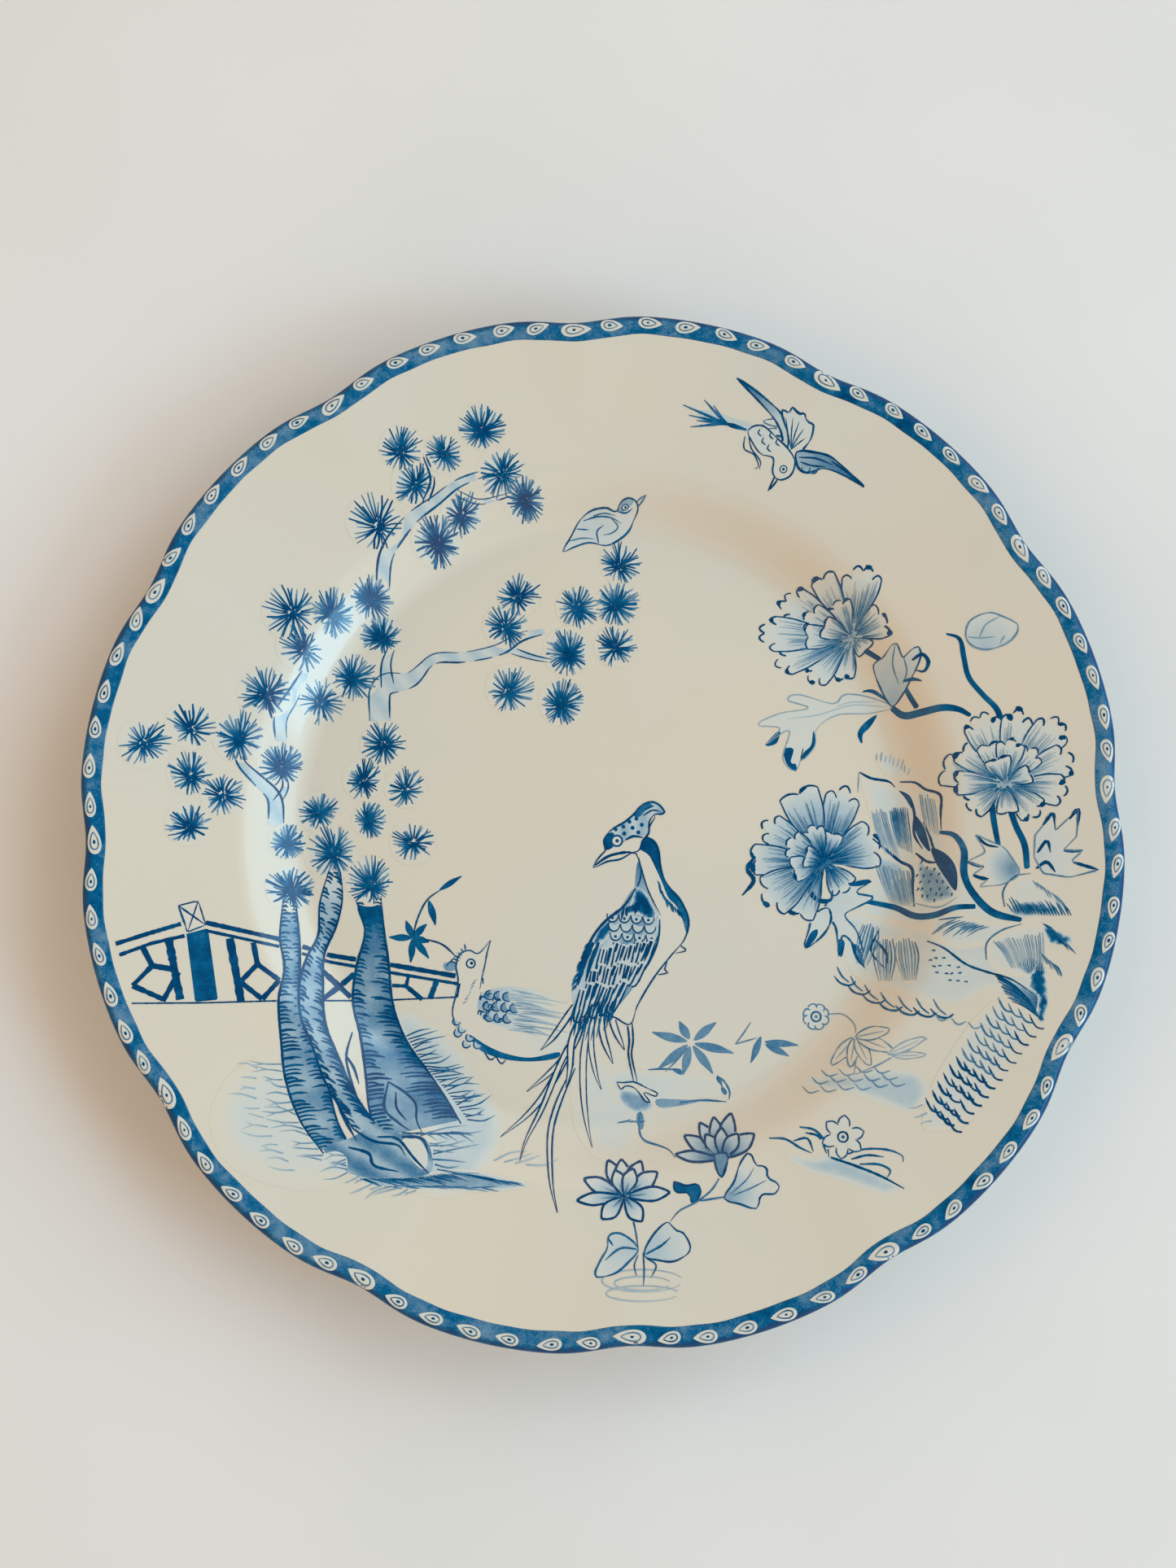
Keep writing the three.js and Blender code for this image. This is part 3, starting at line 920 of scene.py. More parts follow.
def roots(art):
    """The ground the trunks stand on: grass at both sides, folded roots, and a dark strip of earth."""
    art.wash([(-78, -58), (-92, -64), (-97, -76), (-90, -88), (-70, -93), (-60, -84), (-70, -74)], 0.1,
        soft=7)
    art.wash([(-54, -48), (-42, -52), (-32, -64), (-24, -79), (-34, -94), (-48, -92), (-44, -76),
        (-50, -64)], 0.22, soft=5)
    hairs(art, [(-79.5, -62), (-78, -70), (-73, -79), (-68, -86)], 172, 6.5, 1.9, ink=0.6)
    hairs(art, [(-86, -63), (-86, -70), (-82, -79), (-76, -88)], 176, 5.5, 2.6, ink=0.4)
    hairs(art, [(-50, -55), (-45, -62.5), (-39, -69.5), (-34, -76)], 10, 6.5, 0.9, ink=0.95)
    hairs(art, [(-46, -80), (-43, -84), (-41, -88)], 4, 9, 1.4)
    art.wash([(-62, -89), (-50, -89.5), (-36, -88), (-26, -89.5), (-17, -92), (-28, -93.5), (-44, -93),
        (-56, -92)], tone=fading(-52, -90, 34, 0.58, 0.4), soft=1.5)
    hatch(art, [(-60, -90), (-48, -90), (-36, -89), (-24, -91)], -14, 5, 0.9, 0.3, 0.85, droop=0)
    hatch(art, [(-54, -92), (-42, -92), (-30, -92.5)], -4, 4.5, 1.2, 0.26, 0.7, droop=0)
    for trunk, look in zip(TRUNKS, ((0.64, 1.15, 0.3, 0.4), (0.56, 1.15, 0.5, 0.3),
            (0.5, 1.3, 0.35, 0.45))):
        bark(art, trunk, *look)
    top = [(-63, -21.4), (-57.4, -21.4), (-56.2, -27), (-55, -35), (-54.6, -40), (-62, -40), (-62.4, -34),
        (-61.2, -28)]
    art.wash(top, tone=fading(-59.5, -22, 17, 0.95, 0.5))
    foot = [(-69, -83), (-62, -80), (-57, -77), (-53, -79), (-45, -80), (-42.5, -84), (-43, -89),
        (-52, -90), (-62, -89)]
    art.wash(foot, tone=lambda p: 0.52 + 0.16 * np.sin(0.55 * p[:, 0] + 0.9 * p[:, 1]), hides=True)
    art.wash([(-69, -84.6), (-66, -83.4), (-63.4, -85), (-63.4, -88), (-67, -88.5)], 0.12, hides=True)
    hairs(art, [(-63.6, -84.6), (-63.4, -86.6), (-63, -88.6)], 186, 5, 0.8, ink=0.6)
    hairs(art, [(-60, -89.4), (-54, -91.6), (-46, -93)], 196, 5, 2.2, ink=0.5)
    art.wash([(-50, -81), (-46, -80.5), (-43.5, -84), (-44, -88), (-47, -86)], 0.08, hides=True)
    strokes(art, [[(-63, -82.5), (-58, -84), (-56.5, -87), (-50.5, -88.5)],
        [(-56, -80), (-51, -80.5), (-47, -85), (-43, -89)], [(-68, -67), (-64.5, -75), (-61, -81)],
        [(-62, -78), (-57, -81), (-51, -82), (-49, -84.5)], [(-50, -80), (-45, -80.5), (-43.2, -84)]], 0.65)
    art.wash([(-54, -66.5), (-50, -69), (-47, -72), (-47, -75), (-50, -77), (-54, -74)], 0.5, hides=True)
    strokes(art, [[(-54, -66.5), (-54.5, -73), (-51, -76.5), (-48, -78.5)],
        [(-54, -66.5), (-50, -69), (-47, -72), (-46.5, -76), (-45, -79)],
        [(-52, -69), (-51.5, -73), (-49, -76)], [(-63.5, -54), (-64.5, -60), (-63, -66), (-60.5, -72)],
        [(-64.5, -60), (-62.5, -63), (-61, -67)]], 0.55)
    hairs(art, [(-50, -79), (-44, -79.5), (-38, -79)], -6, 7, 1.8, spread=8, ink=0.85)


def draw_pine_tree(art):
    """The limbs, then the ground and the trunks, then the tufts of needles."""
    branch(art, [(-57.5, 60), (-56, 70), (-50, 78.5), (-43, 84), (-37, 88.5), (-28, 92)], 3.2, 3.4, 2.4,
        1.4)
    branch(art, [(-46, 83), (-44, 89), (-46, 95)], 1.4, 0.7)
    branch(art, [(-38, 86), (-32, 84), (-24, 86)], 1.5, 0.8)
    branch(art, [(-58, 27), (-57.5, 36), (-50, 38), (-44, 43.5), (-36, 44), (-27, 46), (-21, 49.5),
        (-15, 51)], 5.2, 5.6, 2.6, 2.6, 3.0, 1.4)
    branch(art, [(-56, 36), (-56.5, 42), (-55, 47)], 3.4, 1.6)
    branch(art, [(-24, 46), (-18, 44), (-13, 43)], 1.8, 0.8)
    branch(art, [(-84, -1), (-84.5, 6), (-88, 10), (-92, 14), (-94, 18)], 3.6, 3.0, 1.4)
    branch(art, [(-84, 5), (-82, 9), (-82.5, 13)], 1.8, 1.0)
    branch(art, [(-83, 21), (-83, 27), (-80, 33), (-77, 39)], 2.6, 3.2, 1.6)
    roots(art)
    for x, y, size in LEFT_CROWN + TOP_CROWN + RIGHT_CROWN:
        tuft(art, x, y, size, art.random.uniform(0.78, 1.0), art.random.uniform(0, 180))


# ---- the garden's left: fence, bamboo and hen ----------------------------------------------------
def draw_fence(art):
    """A fence of straight bars with a thick post and a box. It stops at the trunks."""
    bar = (1, 1)
    for line, width in (
        ([(-121.5, -32.2), (-114, -29.6), (-106, -27)], 0.95),
        ([(-120.5, -35), (-113, -32), (-105, -30)], 0.8),
        ([(-100, -26.6), (-82, -30.5), (-70, -34.3), (-55, -36.6), (-37.5, -39.6)], 1.05),
        ([(-100, -28.6), (-82, -32.4), (-70, -36), (-55, -38.6), (-37, -41.6)], 0.7),
        ([(-108.8, -31), (-105.4, -46)], 1.7),
        ([(-115, -33), (-112.5, -37.6), (-106.5, -38.6)], 1.2),
        ([(-112.5, -37.6), (-117, -42.6), (-109.4, -46)], 1.1),
        ([(-106, -39.2), (-109.6, -46.4)], 1.1),
        ([(-94, -30.5), (-90.6, -46.5)], 1.7),
        ([(-88.2, -31.5), (-87, -37)], 1.2),
        ([(-87, -37), (-81.5, -41), (-85.5, -45.8), (-91, -41.5), (-87, -37)], 1.1),
        ([(-72, -38), (-63.3, -46)], 1.2),
        ([(-63, -38.6), (-71.5, -46)], 1.2),
        ([(-54.5, -42), (-50.2, -42.2), (-49.6, -39.6)], 0.8),
        ([(-50.2, -42.2), (-46, -45.6)], 1.0),
        ([(-42.4, -41), (-44, -45.4)], 1.2),
        ([(-36.4, -41.5), (-37, -45)], 0.4),
        ([(-117, -47), (-100, -46.8), (-82, -46.2), (-55, -45.8), (-37, -45)], 0.35),
    ):
        for start, end in zip(line[:-1], line[1:]):
            art.stroke([start, end], width, 0.94, bar)
    art.wash([(-104.6, -29.5), (-99.4, -28), (-96.3, -46), (-101.8, -46.6)], 0.9, curved=False)
    box = [(-106.8, -22.4), (-102, -21.1), (-100, -27.2), (-104.3, -29)]
    patch(art, box, 0.04, 0.4, 0.9, pieces=4, curved=False)
    strokes(art, [[box[0], box[2]], [box[1], box[3]]], 0.36)
    for left, right in TRUNKS:
        art.cover(np.vstack([smooth(left, 1.0), smooth(right, 1.0)[::-1]]))


def draw_bamboo_spray(art):
    """Bamboo leaves and twigs beside the trunks."""
    for angle, length in ((178, 6.4), (112, 5), (45, 5.2), (-95, 6.6), (-52, 7), (-15, 4.5)):
        blade(art, -48.6, -29.8, angle, length, 1.9, 0.86)
    strokes(art, [[(-48.6, -29.8), (-47.5, -25), (-45, -20), (-41, -17)],
        [(-46, -30), (-41, -31.5), (-37, -35)]], 0.45)
    blade(art, -44.6, -20, -75, 7, 1.9, 0.86)
    blade(art, -42, -17.5, 32, 7.2, 1.5, 0.86)


def scales(art, places, size, angle, ink, fill, dotted=False):
    """Overlapping rounded feathers, each a scallop with its open end facing back at an angle."""
    for x, y in places:
        arc = [polar(0, 0, a, size) for a in range(-100, 101, 25)]
        turned = placed([(u * 0.95, v * 0.8) for u, v in arc], x, y, angle)
        art.wash(turned + [(x, y)], fill, step=0.5)
        art.stroke(turned, 0.34, art.near(ink, 0.1), (0.5, 0.5), step=0.5)
        if dotted:
            art.dot(*polar(x, y, angle, size * 0.35), size * 0.22, ink)


def hen_body(art):
    """The body, the wing over it, their feathers, and the feet."""
    body = [(-36, -38), (-37.5, -44), (-38.3, -50), (-36, -56), (-31, -60.5), (-24, -61), (-14, -60.5),
        (-9, -57), (-8, -50), (-10, -45.5), (-18, -43), (-26, -42.3), (-30.5, -43.5), (-31.5, -38)]
    art.wash(body, tone=fading(-12, -56, 16, 0.1, 0.01), hides=True)
    wing = [(-31, -44.5), (-25, -42.5), (-17, -43.2), (-9, -46.5), (-8, -52), (-14, -54.5), (-24, -53),
        (-31, -50)]
    art.wash(wing, tone=fading(-32, -46, 22, 0.36, 0.02), hides=True)
    for row, (x, y, count) in enumerate(((-28.5, -44.5, 3), (-29, -47.2, 4), (-28.5, -50, 3))):
        scales(art, [(x + 2.3 * i, y - 0.2 * i) for i in range(count)], 1.5, 190 + 12 * row, 0.85, 0.5)
    for _ in range(16):
        x, y = art.random.uniform(-31, -23), art.random.uniform(-52, -44)
        art.stroke([(x, y), polar(x, y, 160, 0.9), polar(x, y, 215, 1.3)], art.near(0.36, 0.3), 0.85,
            (0.6, 0.4), step=0.4)
    for i in range(26):
        y = -43.6 - 10.4 * i / 25 + art.random.uniform(-0.3, 0.3)
        x = -22 + art.random.uniform(-3, 2)
        reach = art.random.uniform(7, 13)
        art.stroke([(x, y), (x + reach / 2, y - 0.5), (x + reach, y - 1.6)], 0.26,
            art.random.uniform(0.35, 0.65), fade=0.5)
    belly = [(-34, -54.5), (-29, -57.5), (-24, -59.5), (-18, -60.4), (-11, -59), (-11.5, -60.6),
        (-18, -61.4), (-25, -60.8), (-31, -58.6)]
    art.wash(belly, 0.85)
    scales(art, [(-37, -51), (-35.6, -53), (-33.6, -55.2), (-36.6, -54), (-34.4, -56.8), (-31.6, -57)], 1.3,
        235, 0.8, 0.3)
    strokes(art, [[(-36.3, -40), (-37.2, -44), (-38.2, -49), (-37, -53)],
        [(-31, -38), (-30.4, -41), (-31, -44.5)], [(-30, -59), (-28.4, -61), (-26.8, -60)],
        [(-27, -60), (-25.6, -62), (-24.4, -61)]], 0.34)


def hen_head(art):
    """The neck and head, with an eye, curls and a beak."""
    head = [(-37.4, -44), (-36.9, -40), (-37.6, -37), (-37, -34), (-34.5, -32.8), (-32, -33.6),
        (-28.4, -30.3), (-29.8, -35.4), (-30.6, -39.5), (-31, -44)]
    art.wash(head, 0.03, hides=True)
    strokes(art, [[(-37.8, -46), (-36.8, -41), (-37.4, -37), (-36.4, -34), (-34, -33), (-31.6, -33.8),
        (-28.5, -30.4)], [(-28.5, -30.4), (-29.4, -33.6), (-30, -37), (-30.6, -39.5), (-31.2, -43)]], 0.36,
        0.8)
    eye(art, (-33.6, -36.4), (-33.4, -36.3), (1.35, 0.9, 0.45), (0.9, 0.04, 0.95))
    for i in range(6):
        x, y = -37 + 0.4 * i, -36.5 + 0.7 * i
        curl = [(x, y), (x - 1.8 + 0.35 * i, y + 0.6), (x - 3 + 0.55 * i, y - 0.8 + 0.5 * i)]
        art.stroke(curl, 0.36, 0.8)
    art.wash([(-37.4, -36), (-40.6, -36.4), (-40, -38.2), (-37.6, -38)], 0.5)
    hatch(art, [(-32, -40.5), (-33.2, -43), (-34.5, -46)], 215, 1.1, 0.9, 0.22, 0.6)


def draw_hen(art):
    hen_body(art)
    hen_head(art)


# ---- the long-tailed bird ------------------------------------------------------------------------
def plume(art, line, width):
    """One long tail feather, its edges drawn and meeting in a point."""
    left, right = tapered(line, (0.5 * width, width, width, 0.75 * width, 0.1))
    art.wash(band_between(left[::2], right[::2]), 0.05, hides=True)
    for side in (left, right):
        art.stroke(side[::3].tolist() + [side[-1].tolist()], art.near(0.34, 0.25), 0.9, (0.6, 0.3))


TAIL = (
    ([(-6, -46), (-10, -52), (-13, -56), (-15.5, -58.5)], 1.6),
    ([(-4, -47), (-6.5, -56), (-10, -61), (-14, -65), (-19, -69)], 1.5),
    ([(-5, -50), (-9, -60), (-14, -69), (-19, -75), (-25.5, -80.3)], 1.6),
    ([(-4, -50), (-10, -61), (-15, -73), (-19, -81), (-20.5, -86)], 1.3),
    ([(-7, -63), (-11, -72), (-13, -80), (-12.6, -91), (-11, -98.5)], 1.3),
    ([(-3, -50), (-4.5, -60), (-4.5, -70), (-3.5, -78), (-2.3, -83)], 1.6),
    ([(-2, -49), (-2.6, -57), (-1.5, -64), (0, -68.5)], 1.3),
    ([(-4.5, -49), (-7.5, -56), (-8, -63), (-9, -68)], 1.6),
    ([(0, -49), (0.5, -55), (3, -62)], 1.5),
    ([(2, -47), (3.5, -53), (6, -58.5)], 1.6),
)


def feather(art, x, y, angle, length, width):
    """A long rounded feather: pale, outlined, and dark beside its shaft."""
    shape = [(0, 0.45), (0.6, 0.5), (0.92, 0.36), (1.0, 0), (0.92, -0.36), (0.6, -0.5), (0, -0.45)]
    ring = stretched(shape, x, y, angle, length, width)
    art.wash(ring, 0.2, step=0.6, hides=True)
    art.stroke(ring[:4], 0.42, 0.93, (0.6, 0.9), step=0.6)
    art.stroke(ring[:2:-1], 0.42, 0.93, (0.6, 0.9), step=0.6)
    art.stroke([(x, y), polar(x, y, angle, length * art.random.uniform(0.45, 0.75))], art.near(0.56, 0.4),
        0.93, (1, 0.2))


def bird_body(art):
    """Breast and back in white, a dark band down the nape, and a dark wing of scales and long feathers."""
    body = [(9.6, -9), (10.4, -13), (9.2, -17), (6.5, -22), (2, -26), (-2, -30), (-5, -36), (-6.5, -43),
        (-3, -49), (3, -50), (7.4, -52), (9.4, -47), (13.6, -40), (18, -34.4), (21.6, -30), (22.6, -25),
        (20.5, -20), (17.2, -16), (15.6, -12), (14.6, -6), (12, -3.8), (8, -5)]
    patch(art, body, 0.03, 0.45, 0.92, pieces=6)
    nape = [(7.5, -5), (9.5, -3.4), (12.4, -3.6), (14.6, -6.2), (15.4, -11), (17.2, -16), (20.6, -19.6),
        (22.8, -25), (22.2, -29), (21, -25), (19.4, -21.5), (17.4, -19.4), (15.6, -15), (13.6, -10.6),
        (12.2, -8.2), (9.6, -6.6)]
    art.wash(nape, tone=fading(12, -5, 26, 0.98, 0.7))
    hatch(art, [(14.6, -15), (16.4, -19), (18.4, -21), (20.2, -23)], -72, 2.4, 0.9, 0.42, 0.92)
    art.wash([(9.6, -10), (11, -14), (12.6, -19), (9, -19.4), (8.8, -16)],
        tone=fading(10, -11, 9, 0.75, 0.3))
    strokes(art, [[(9.8, -9), (10.8, -13), (12.4, -18), (15.4, -24)]], 0.4)
    wing = [(8.6, -17), (5, -22), (0.5, -26), (-3, -31), (-6, -38), (-7.5, -45), (-5, -49), (2, -49),
        (6, -45.5), (10.4, -39.4), (13.6, -33.5), (15.4, -28), (14.4, -23), (12, -18.5)]
    art.wash(wing, tone=lambda p: 0.4 + 0.16 * np.sin(0.7 * p[:, 0] - 0.5 * p[:, 1]), hides=True)
    art.wash([(2, -25), (-1.5, -29), (-2.5, -33), (0.5, -31), (3, -27.5)], 0.85, soft=0.6)
    art.wash([(9, -17), (11, -17.6), (13, -20.4), (14.4, -24), (12.4, -25.4), (9.6, -23.6), (6.6, -23.6),
        (8, -20)], 1.0, soft=1)
    hatch(art, [(6, -22), (9, -21), (12, -21)], 262, 2.6, 0.8, 0.6, 0.95)
    for row in range(3):
        places = [(3 + 3.1 * i + 0.4 * row, -24 - 2.4 * row - 0.2 * i) for i in range(4)]
        scales(art, places, 1.8, 262, 0.95, 0.24, dotted=row != 1)
    for count, x0, y0, length in ((8, 13, -30.6, 6.6), (8, 10.6, -36.4, 7), (7, 6, -41.4, 8)):
        for i in range(count):
            x, y = x0 - 1.75 * i, y0 - 0.2 * i + art.random.uniform(-0.9, 0.7)
            feather(art, x, y, 248 + 1.4 * i + art.random.uniform(-5, 5), art.near(length, 0.2),
                art.near(2.1, 0.15))
    for i in range(11):
        x, y = 4 - 1.05 * i, -45.6 - 0.1 * i + art.random.uniform(-1.6, 1.2)
        art.stroke([(x, y), polar(x, y, 252, 3), polar(x, y, 257, art.near(6, 0.3))], art.near(0.5, 0.3),
            0.9, fade=0.2)
    strokes(art, [[(-2, -31), (-4.4, -36), (-6, -42)], [(-0.6, -31), (-2.6, -36), (-4, -41)]], 1.1, 0.92)
    strokes(art, [[(9, -17), (6, -21.5), (1, -25.6), (-2.4, -30), (-5, -36), (-6.6, -43)]], 0.7, 0.95)
    strokes(art, [[(15.2, -25), (14.8, -30), (13, -35), (10, -40)]], 0.4)
    hatch(art, [(-3, -31), (-5, -36), (-6.6, -42)], 235, 2.2, 1.6, 0.5, 0.95)


def bird_head(art):
    """A pale beak, a spotted crown swept back into a crest, and a ringed eye."""
    head = [(-2, -11.6), (-0.4, -8.8), (1.2, -7), (0.7, -4.6), (2.6, -1.8), (6, 0.2), (8.6, 2.4),
        (10.4, 4.6), (12.8, 5.6), (15.2, 4.8), (16.6, 2.5), (14.2, 2.4), (12.6, 0.6), (12.4, -2.6),
        (10.8, -4.6), (10, -7), (8, -7.7), (5, -9.4), (1.6, -10)]
    patch(art, head, 0.03, 0.5, 0.92, pieces=5)
    crown = [(1, -6.4), (0.8, -4.4), (2.6, -1.8), (6, 0.2), (8.6, 2.4), (10.4, 4.6), (12.8, 5.4), (15, 4.7),
        (16.4, 2.6), (14, 2.6), (12.4, 1), (12, -2.6), (9.6, -3.6), (7.4, -3.2), (6, -5), (3.6, -6.4)]
    art.wash(crown, tone=lambda p: 0.32 + 0.1 * np.sin(1.3 * p[:, 0]))
    art.wash([(1.1, -7), (0.9, -4.2), (2.4, -2.4), (3.6, -3), (2.6, -4.6), (3.2, -6.2)], 0.95)
    art.wash([(8.4, 2), (10.4, 4.4), (12.4, 5.4), (13.6, 4.4), (11.4, 3.2), (10, 1.6)], 0.8)
    strokes(art, [[(11, 2), (13.4, 3.4), (15.6, 3)], [(12.2, -2.6), (12.8, -0.6), (14.2, 1.8)],
        [(11.6, 3.8), (14, 4.6)]])
    for x, y in ((3.8, -1.6), (5.8, -0.9), (7.4, 0.4), (6, -2.7), (8.2, -1.2), (9.2, 1.2), (9.7, -2.4),
            (10.6, -0.4)):
        art.dot(x, y, 0.55, 0.95)
    eye(art, (4.1, -4.6), (4.2, -4.6), (1.7, 1.15, 0.5), (0.95, 0.03, 0.98))
    strokes(art, [[(6.4, -4.4), (8.4, -3.4), (11, -3.8)], [(-1.6, -11), (2, -8.6), (6.6, -7.6), (9.4, -8)]],
        0.7)


def draw_long_tailed_bird(art):
    """The tail and the legs, the body in front of them, and the head last."""
    for line, width in TAIL:
        plume(art, line, width)
    for line in ([(6.6, -51), (7.2, -56), (7, -60), (8.4, -67)], [(7.9, -51), (8.2, -56), (7.8, -60),
            (9.2, -66.4)]):
        strokes(art, [line], 0.4)
    claw = [(4, -66.6), (5.6, -66.8), (8.4, -66.6), (11.4, -68), (14.6, -69.6), (13.6, -70.2), (10.6, -69),
        (12.4, -71.6), (11.4, -71.6), (8.4, -68), (5.4, -67.8), (5.4, -69)]
    patch(art, claw, 0.03, 0.36, pieces=4)
    strokes(art, [[(22, -28), (20.4, -31.4), (22, -33), (19, -33.8)],
        [(17, -36), (16.4, -38), (17.2, -38.8), (14, -39.4)]])
    bird_body(art)
    for i in range(8):
        x, y = 3 - 1.2 * i, -47 - 0.1 * i + art.random.uniform(-1, 1.4)
        art.stroke([(x, y), polar(x, y, 262 - 2 * i, art.near(7, 0.3))], 0.42, 0.9, fade=0.3)
    bird_head(art)


# ---- the river bank, its bamboo shoots and the lotus ---------------------------------------------
def draw_river_bank(art):
    """Pale banks with a few dark edges and some grass."""
    art.wash([(-5, -60), (4, -61.5), (9, -66), (11, -74), (10.6, -82), (2, -87), (-6, -80), (-8, -68)], 0.1,
        soft=5)
    art.wash([(2, -64), (12, -63.4), (22, -64), (31, -65.6), (33, -69.6), (24, -71), (14, -72.4), (4, -72)],
        tone=fading(4, -68, 30, 0.16, 0.04), soft=2)
    art.wash([(4.5, -68.4), (11, -69.4), (13.4, -73), (9, -74.6), (5, -72)], 0.5, soft=1.2)
    art.wash([(14, -71), (20, -71), (25, -71.4), (20, -72.6), (15, -73)], 0.5)
    strokes(art, [[(12, -63.5), (16, -63.3), (20, -63.6)], [(20, -71.8), (26, -71.2), (32, -71.6)],
        [(29.6, -65), (31.4, -66.4), (32.8, -69), (32.6, -71)], [(10, -74), (9.6, -77.6), (10.6, -81),
        (15, -82.6), (17.2, -83.6), (18.6, -85.4)], [(29.8, -65.4), (30.6, -67), (31.2, -68.6)]], 0.42, 0.7)
    art.wash([(9.2, -74.4), (10.6, -74.6), (10.8, -78), (9.8, -78.6), (9, -76.6)], 0.6)
    art.wash([(29.6, -65), (31, -66.6), (30.4, -67.2), (29.4, -66)], 0.75)
    art.wash([(30.8, -67.6), (32.2, -69), (31.6, -70), (30.6, -68.8)], 0.75)
    art.wash([(18, -63.2), (20.4, -63.4), (20.6, -64.8), (19.2, -64.4)], 0.7)
    hatch(art, [(4, -77), (7, -76.8), (10, -77)], 20, 1.6, 0.6, 0.28, 0.7)
    hairs(art, [(-27, -86), (-19, -87)], 10, 6, 3, ink=0.4)


def draw_bamboo_shoots(art):
    """Two sprays of bamboo leaves beside the river."""
    middle = (23, -56.6)
    for angle, length in ((165, 9.6), (218, 10), (255, 7.8), (305, 9), (346, 10.5), (38, 7.6), (118, 5.4)):
        blade(art, *polar(*middle, angle, 0.9), angle, length, 2.3, 0.62)
    strokes(art, [[(22, -58), (19.5, -61), (16.4, -64)], [(34.4, -57), (36.4, -54.4), (38.4, -51.4)],
        [(34.4, -57), (40, -55.4)]], 0.3, 0.6)
    for x, y, angle, length in ((41, -55, 248, 7.4), (41.8, -56.4, 354, 9), (42, -57, 333, 7)):
        blade(art, x, y, angle, length, 1.9, 0.66)


def lotus_petal(art, base, tip, width, fill=0.1, deep=0.6):
    """A pointed petal from its base to its tip, darker near the base."""
    base, tip = np.array(base, float), np.array(tip, float)
    along = tip - base
    side = np.array([-along[1], along[0]]) / np.hypot(*along) * width / 2
    shape = [base, base + 0.35 * along + 0.75 * side, base + 0.65 * along + side,
        base + 0.88 * along + 0.5 * side, tip, base + 0.88 * along - 0.5 * side, base + 0.65 * along - side,
        base + 0.35 * along - 0.75 * side]
    shape = [tuple(p) for p in shape]
    art.wash(shape, tone=fading(*base, np.hypot(*along) * 0.8, deep, fill), step=0.6, hides=True)
    art.stroke(shape[:5], 0.52, 0.95, (0.3, 1), step=0.6)
    art.stroke([shape[0]] + shape[:3:-1], 0.52, 0.95, (0.3, 1), step=0.6)
    art.stroke([tuple(base + 0.1 * along), tuple(base + 0.5 * along)], 0.4, 0.8, (1, 0.2), fade=0.5)


def lotus_leaves(art):
    """Ripples, stems and four leaves."""
    for rx, ry, y in ((10, 2.6, -114.6), (7, 1.6, -115.2), (9, 1.8, -117.6)):
        ring = [(10 + rx * math.cos(t), y + ry * math.sin(t)) for t in np.linspace(0.3, 5.9, 14)]
        art.stroke(ring, 0.26, 0.4, (0.5, 0.4), fade=0.3)
    strokes(art, [[(7, -98), (8.2, -102), (9, -107)], [(10.2, -108), (10.4, -112), (10.2, -116)],
        [(9, -108.6), (8, -111), (8.6, -113.8)], [(11, -109.4), (13.4, -111), (12, -114)]], 0.36, 0.8)
    strokes(art, [[(30, -89), (27.4, -93), (23.4, -96), (19.4, -98), (17, -100.6)],
        [(31, -94.6), (26, -95.4), (23, -95.8)]], 0.4, 0.7)
    left = [(9, -107), (5, -103.6), (1.8, -104), (1.4, -107), (-0.4, -110), (-1.6, -113.6), (3, -113),
        (6.4, -110.4)]
    patch(art, left, tone=fading(9, -107, 11, 0.3, 0.1), width=0.4, ink=0.75)
    strokes(art, [[(8.6, -107.2), (4.6, -107), (0.8, -109.8)], [(1.4, -104.4), (2.8, -106.4)]], 0.45, 0.75)
    right = [(10.4, -108.6), (12.6, -104), (16.2, -100.8), (18.2, -102.6), (20.4, -103.6), (21.8, -107.4),
        (18, -110), (14, -109.8)]
    patch(art, right, tone=fading(10, -108.6, 12, 0.36, 0.1), width=0.45, ink=0.85)
    strokes(art, [[(10.8, -108.4), (14.6, -106.4), (17, -104.4)]], 0.5, 0.8)
    fan = [(30.4, -95), (33, -91), (34.6, -86.6), (37, -84), (38.6, -87), (41, -87.4), (41.4, -90),
        (44, -91.6), (43, -93.8), (39.6, -94.2), (38.4, -97.4), (34.4, -96.4)]
    patch(art, fan, tone=fading(31.6, -94.6, 8, 0.5, 0.08), width=0.42, ink=0.85, pieces=5)
    strokes(art, [[(32, -94), (36, -90.6), (38, -87.6)], [(32.4, -94.4), (37, -92.6), (41, -90.6)]], 0.3,
        0.6)
    curled = [(18, -91), (21, -92), (24, -91.6), (24.6, -94), (22.6, -96.4), (21.6, -93.8), (18.6, -93.6)]
    patch(art, curled, 0.85, 0.4, 0.95)


def lotus_flowers(art):
    """Two open flowers, petal by petal."""
    heart = (5.6, -94.6)
    for x, y, width in ((1.6, -86, 3.6), (5, -85.8, 3.8), (10, -86.2, 4), (14, -88.8, 4), (17, -93.6, 3.4),
            (-4.4, -90.4, 3.6), (-6.2, -95.6, 3), (0, -100, 4), (10, -100.6, 4), (3.4, -88.4, 3.4),
            (8, -88, 3.6)):
        lotus_petal(art, heart, (x, y), width)
    cup = (30, -85.6)
    for x, y, width in ((21, -80, 3.4), (25, -76.8, 3.4), (28.6, -75.4, 3.4), (33, -74.4, 3.8),
            (38.4, -79.4, 4), (18.6, -84.6, 2.6), (26.4, -79.6, 3.2), (30.4, -78, 3.2), (34.4, -79.4, 3.4)):
        lotus_petal(art, cup, (x, y), width, 0.22, 0.85)
    patch(art, [(28.6, -84.4), (31.6, -84.4), (31, -87.6), (29.8, -90), (28.6, -87.6)], 0.6, 0.45)


def draw_lotus(art):
    lotus_leaves(art)
    lotus_flowers(art)


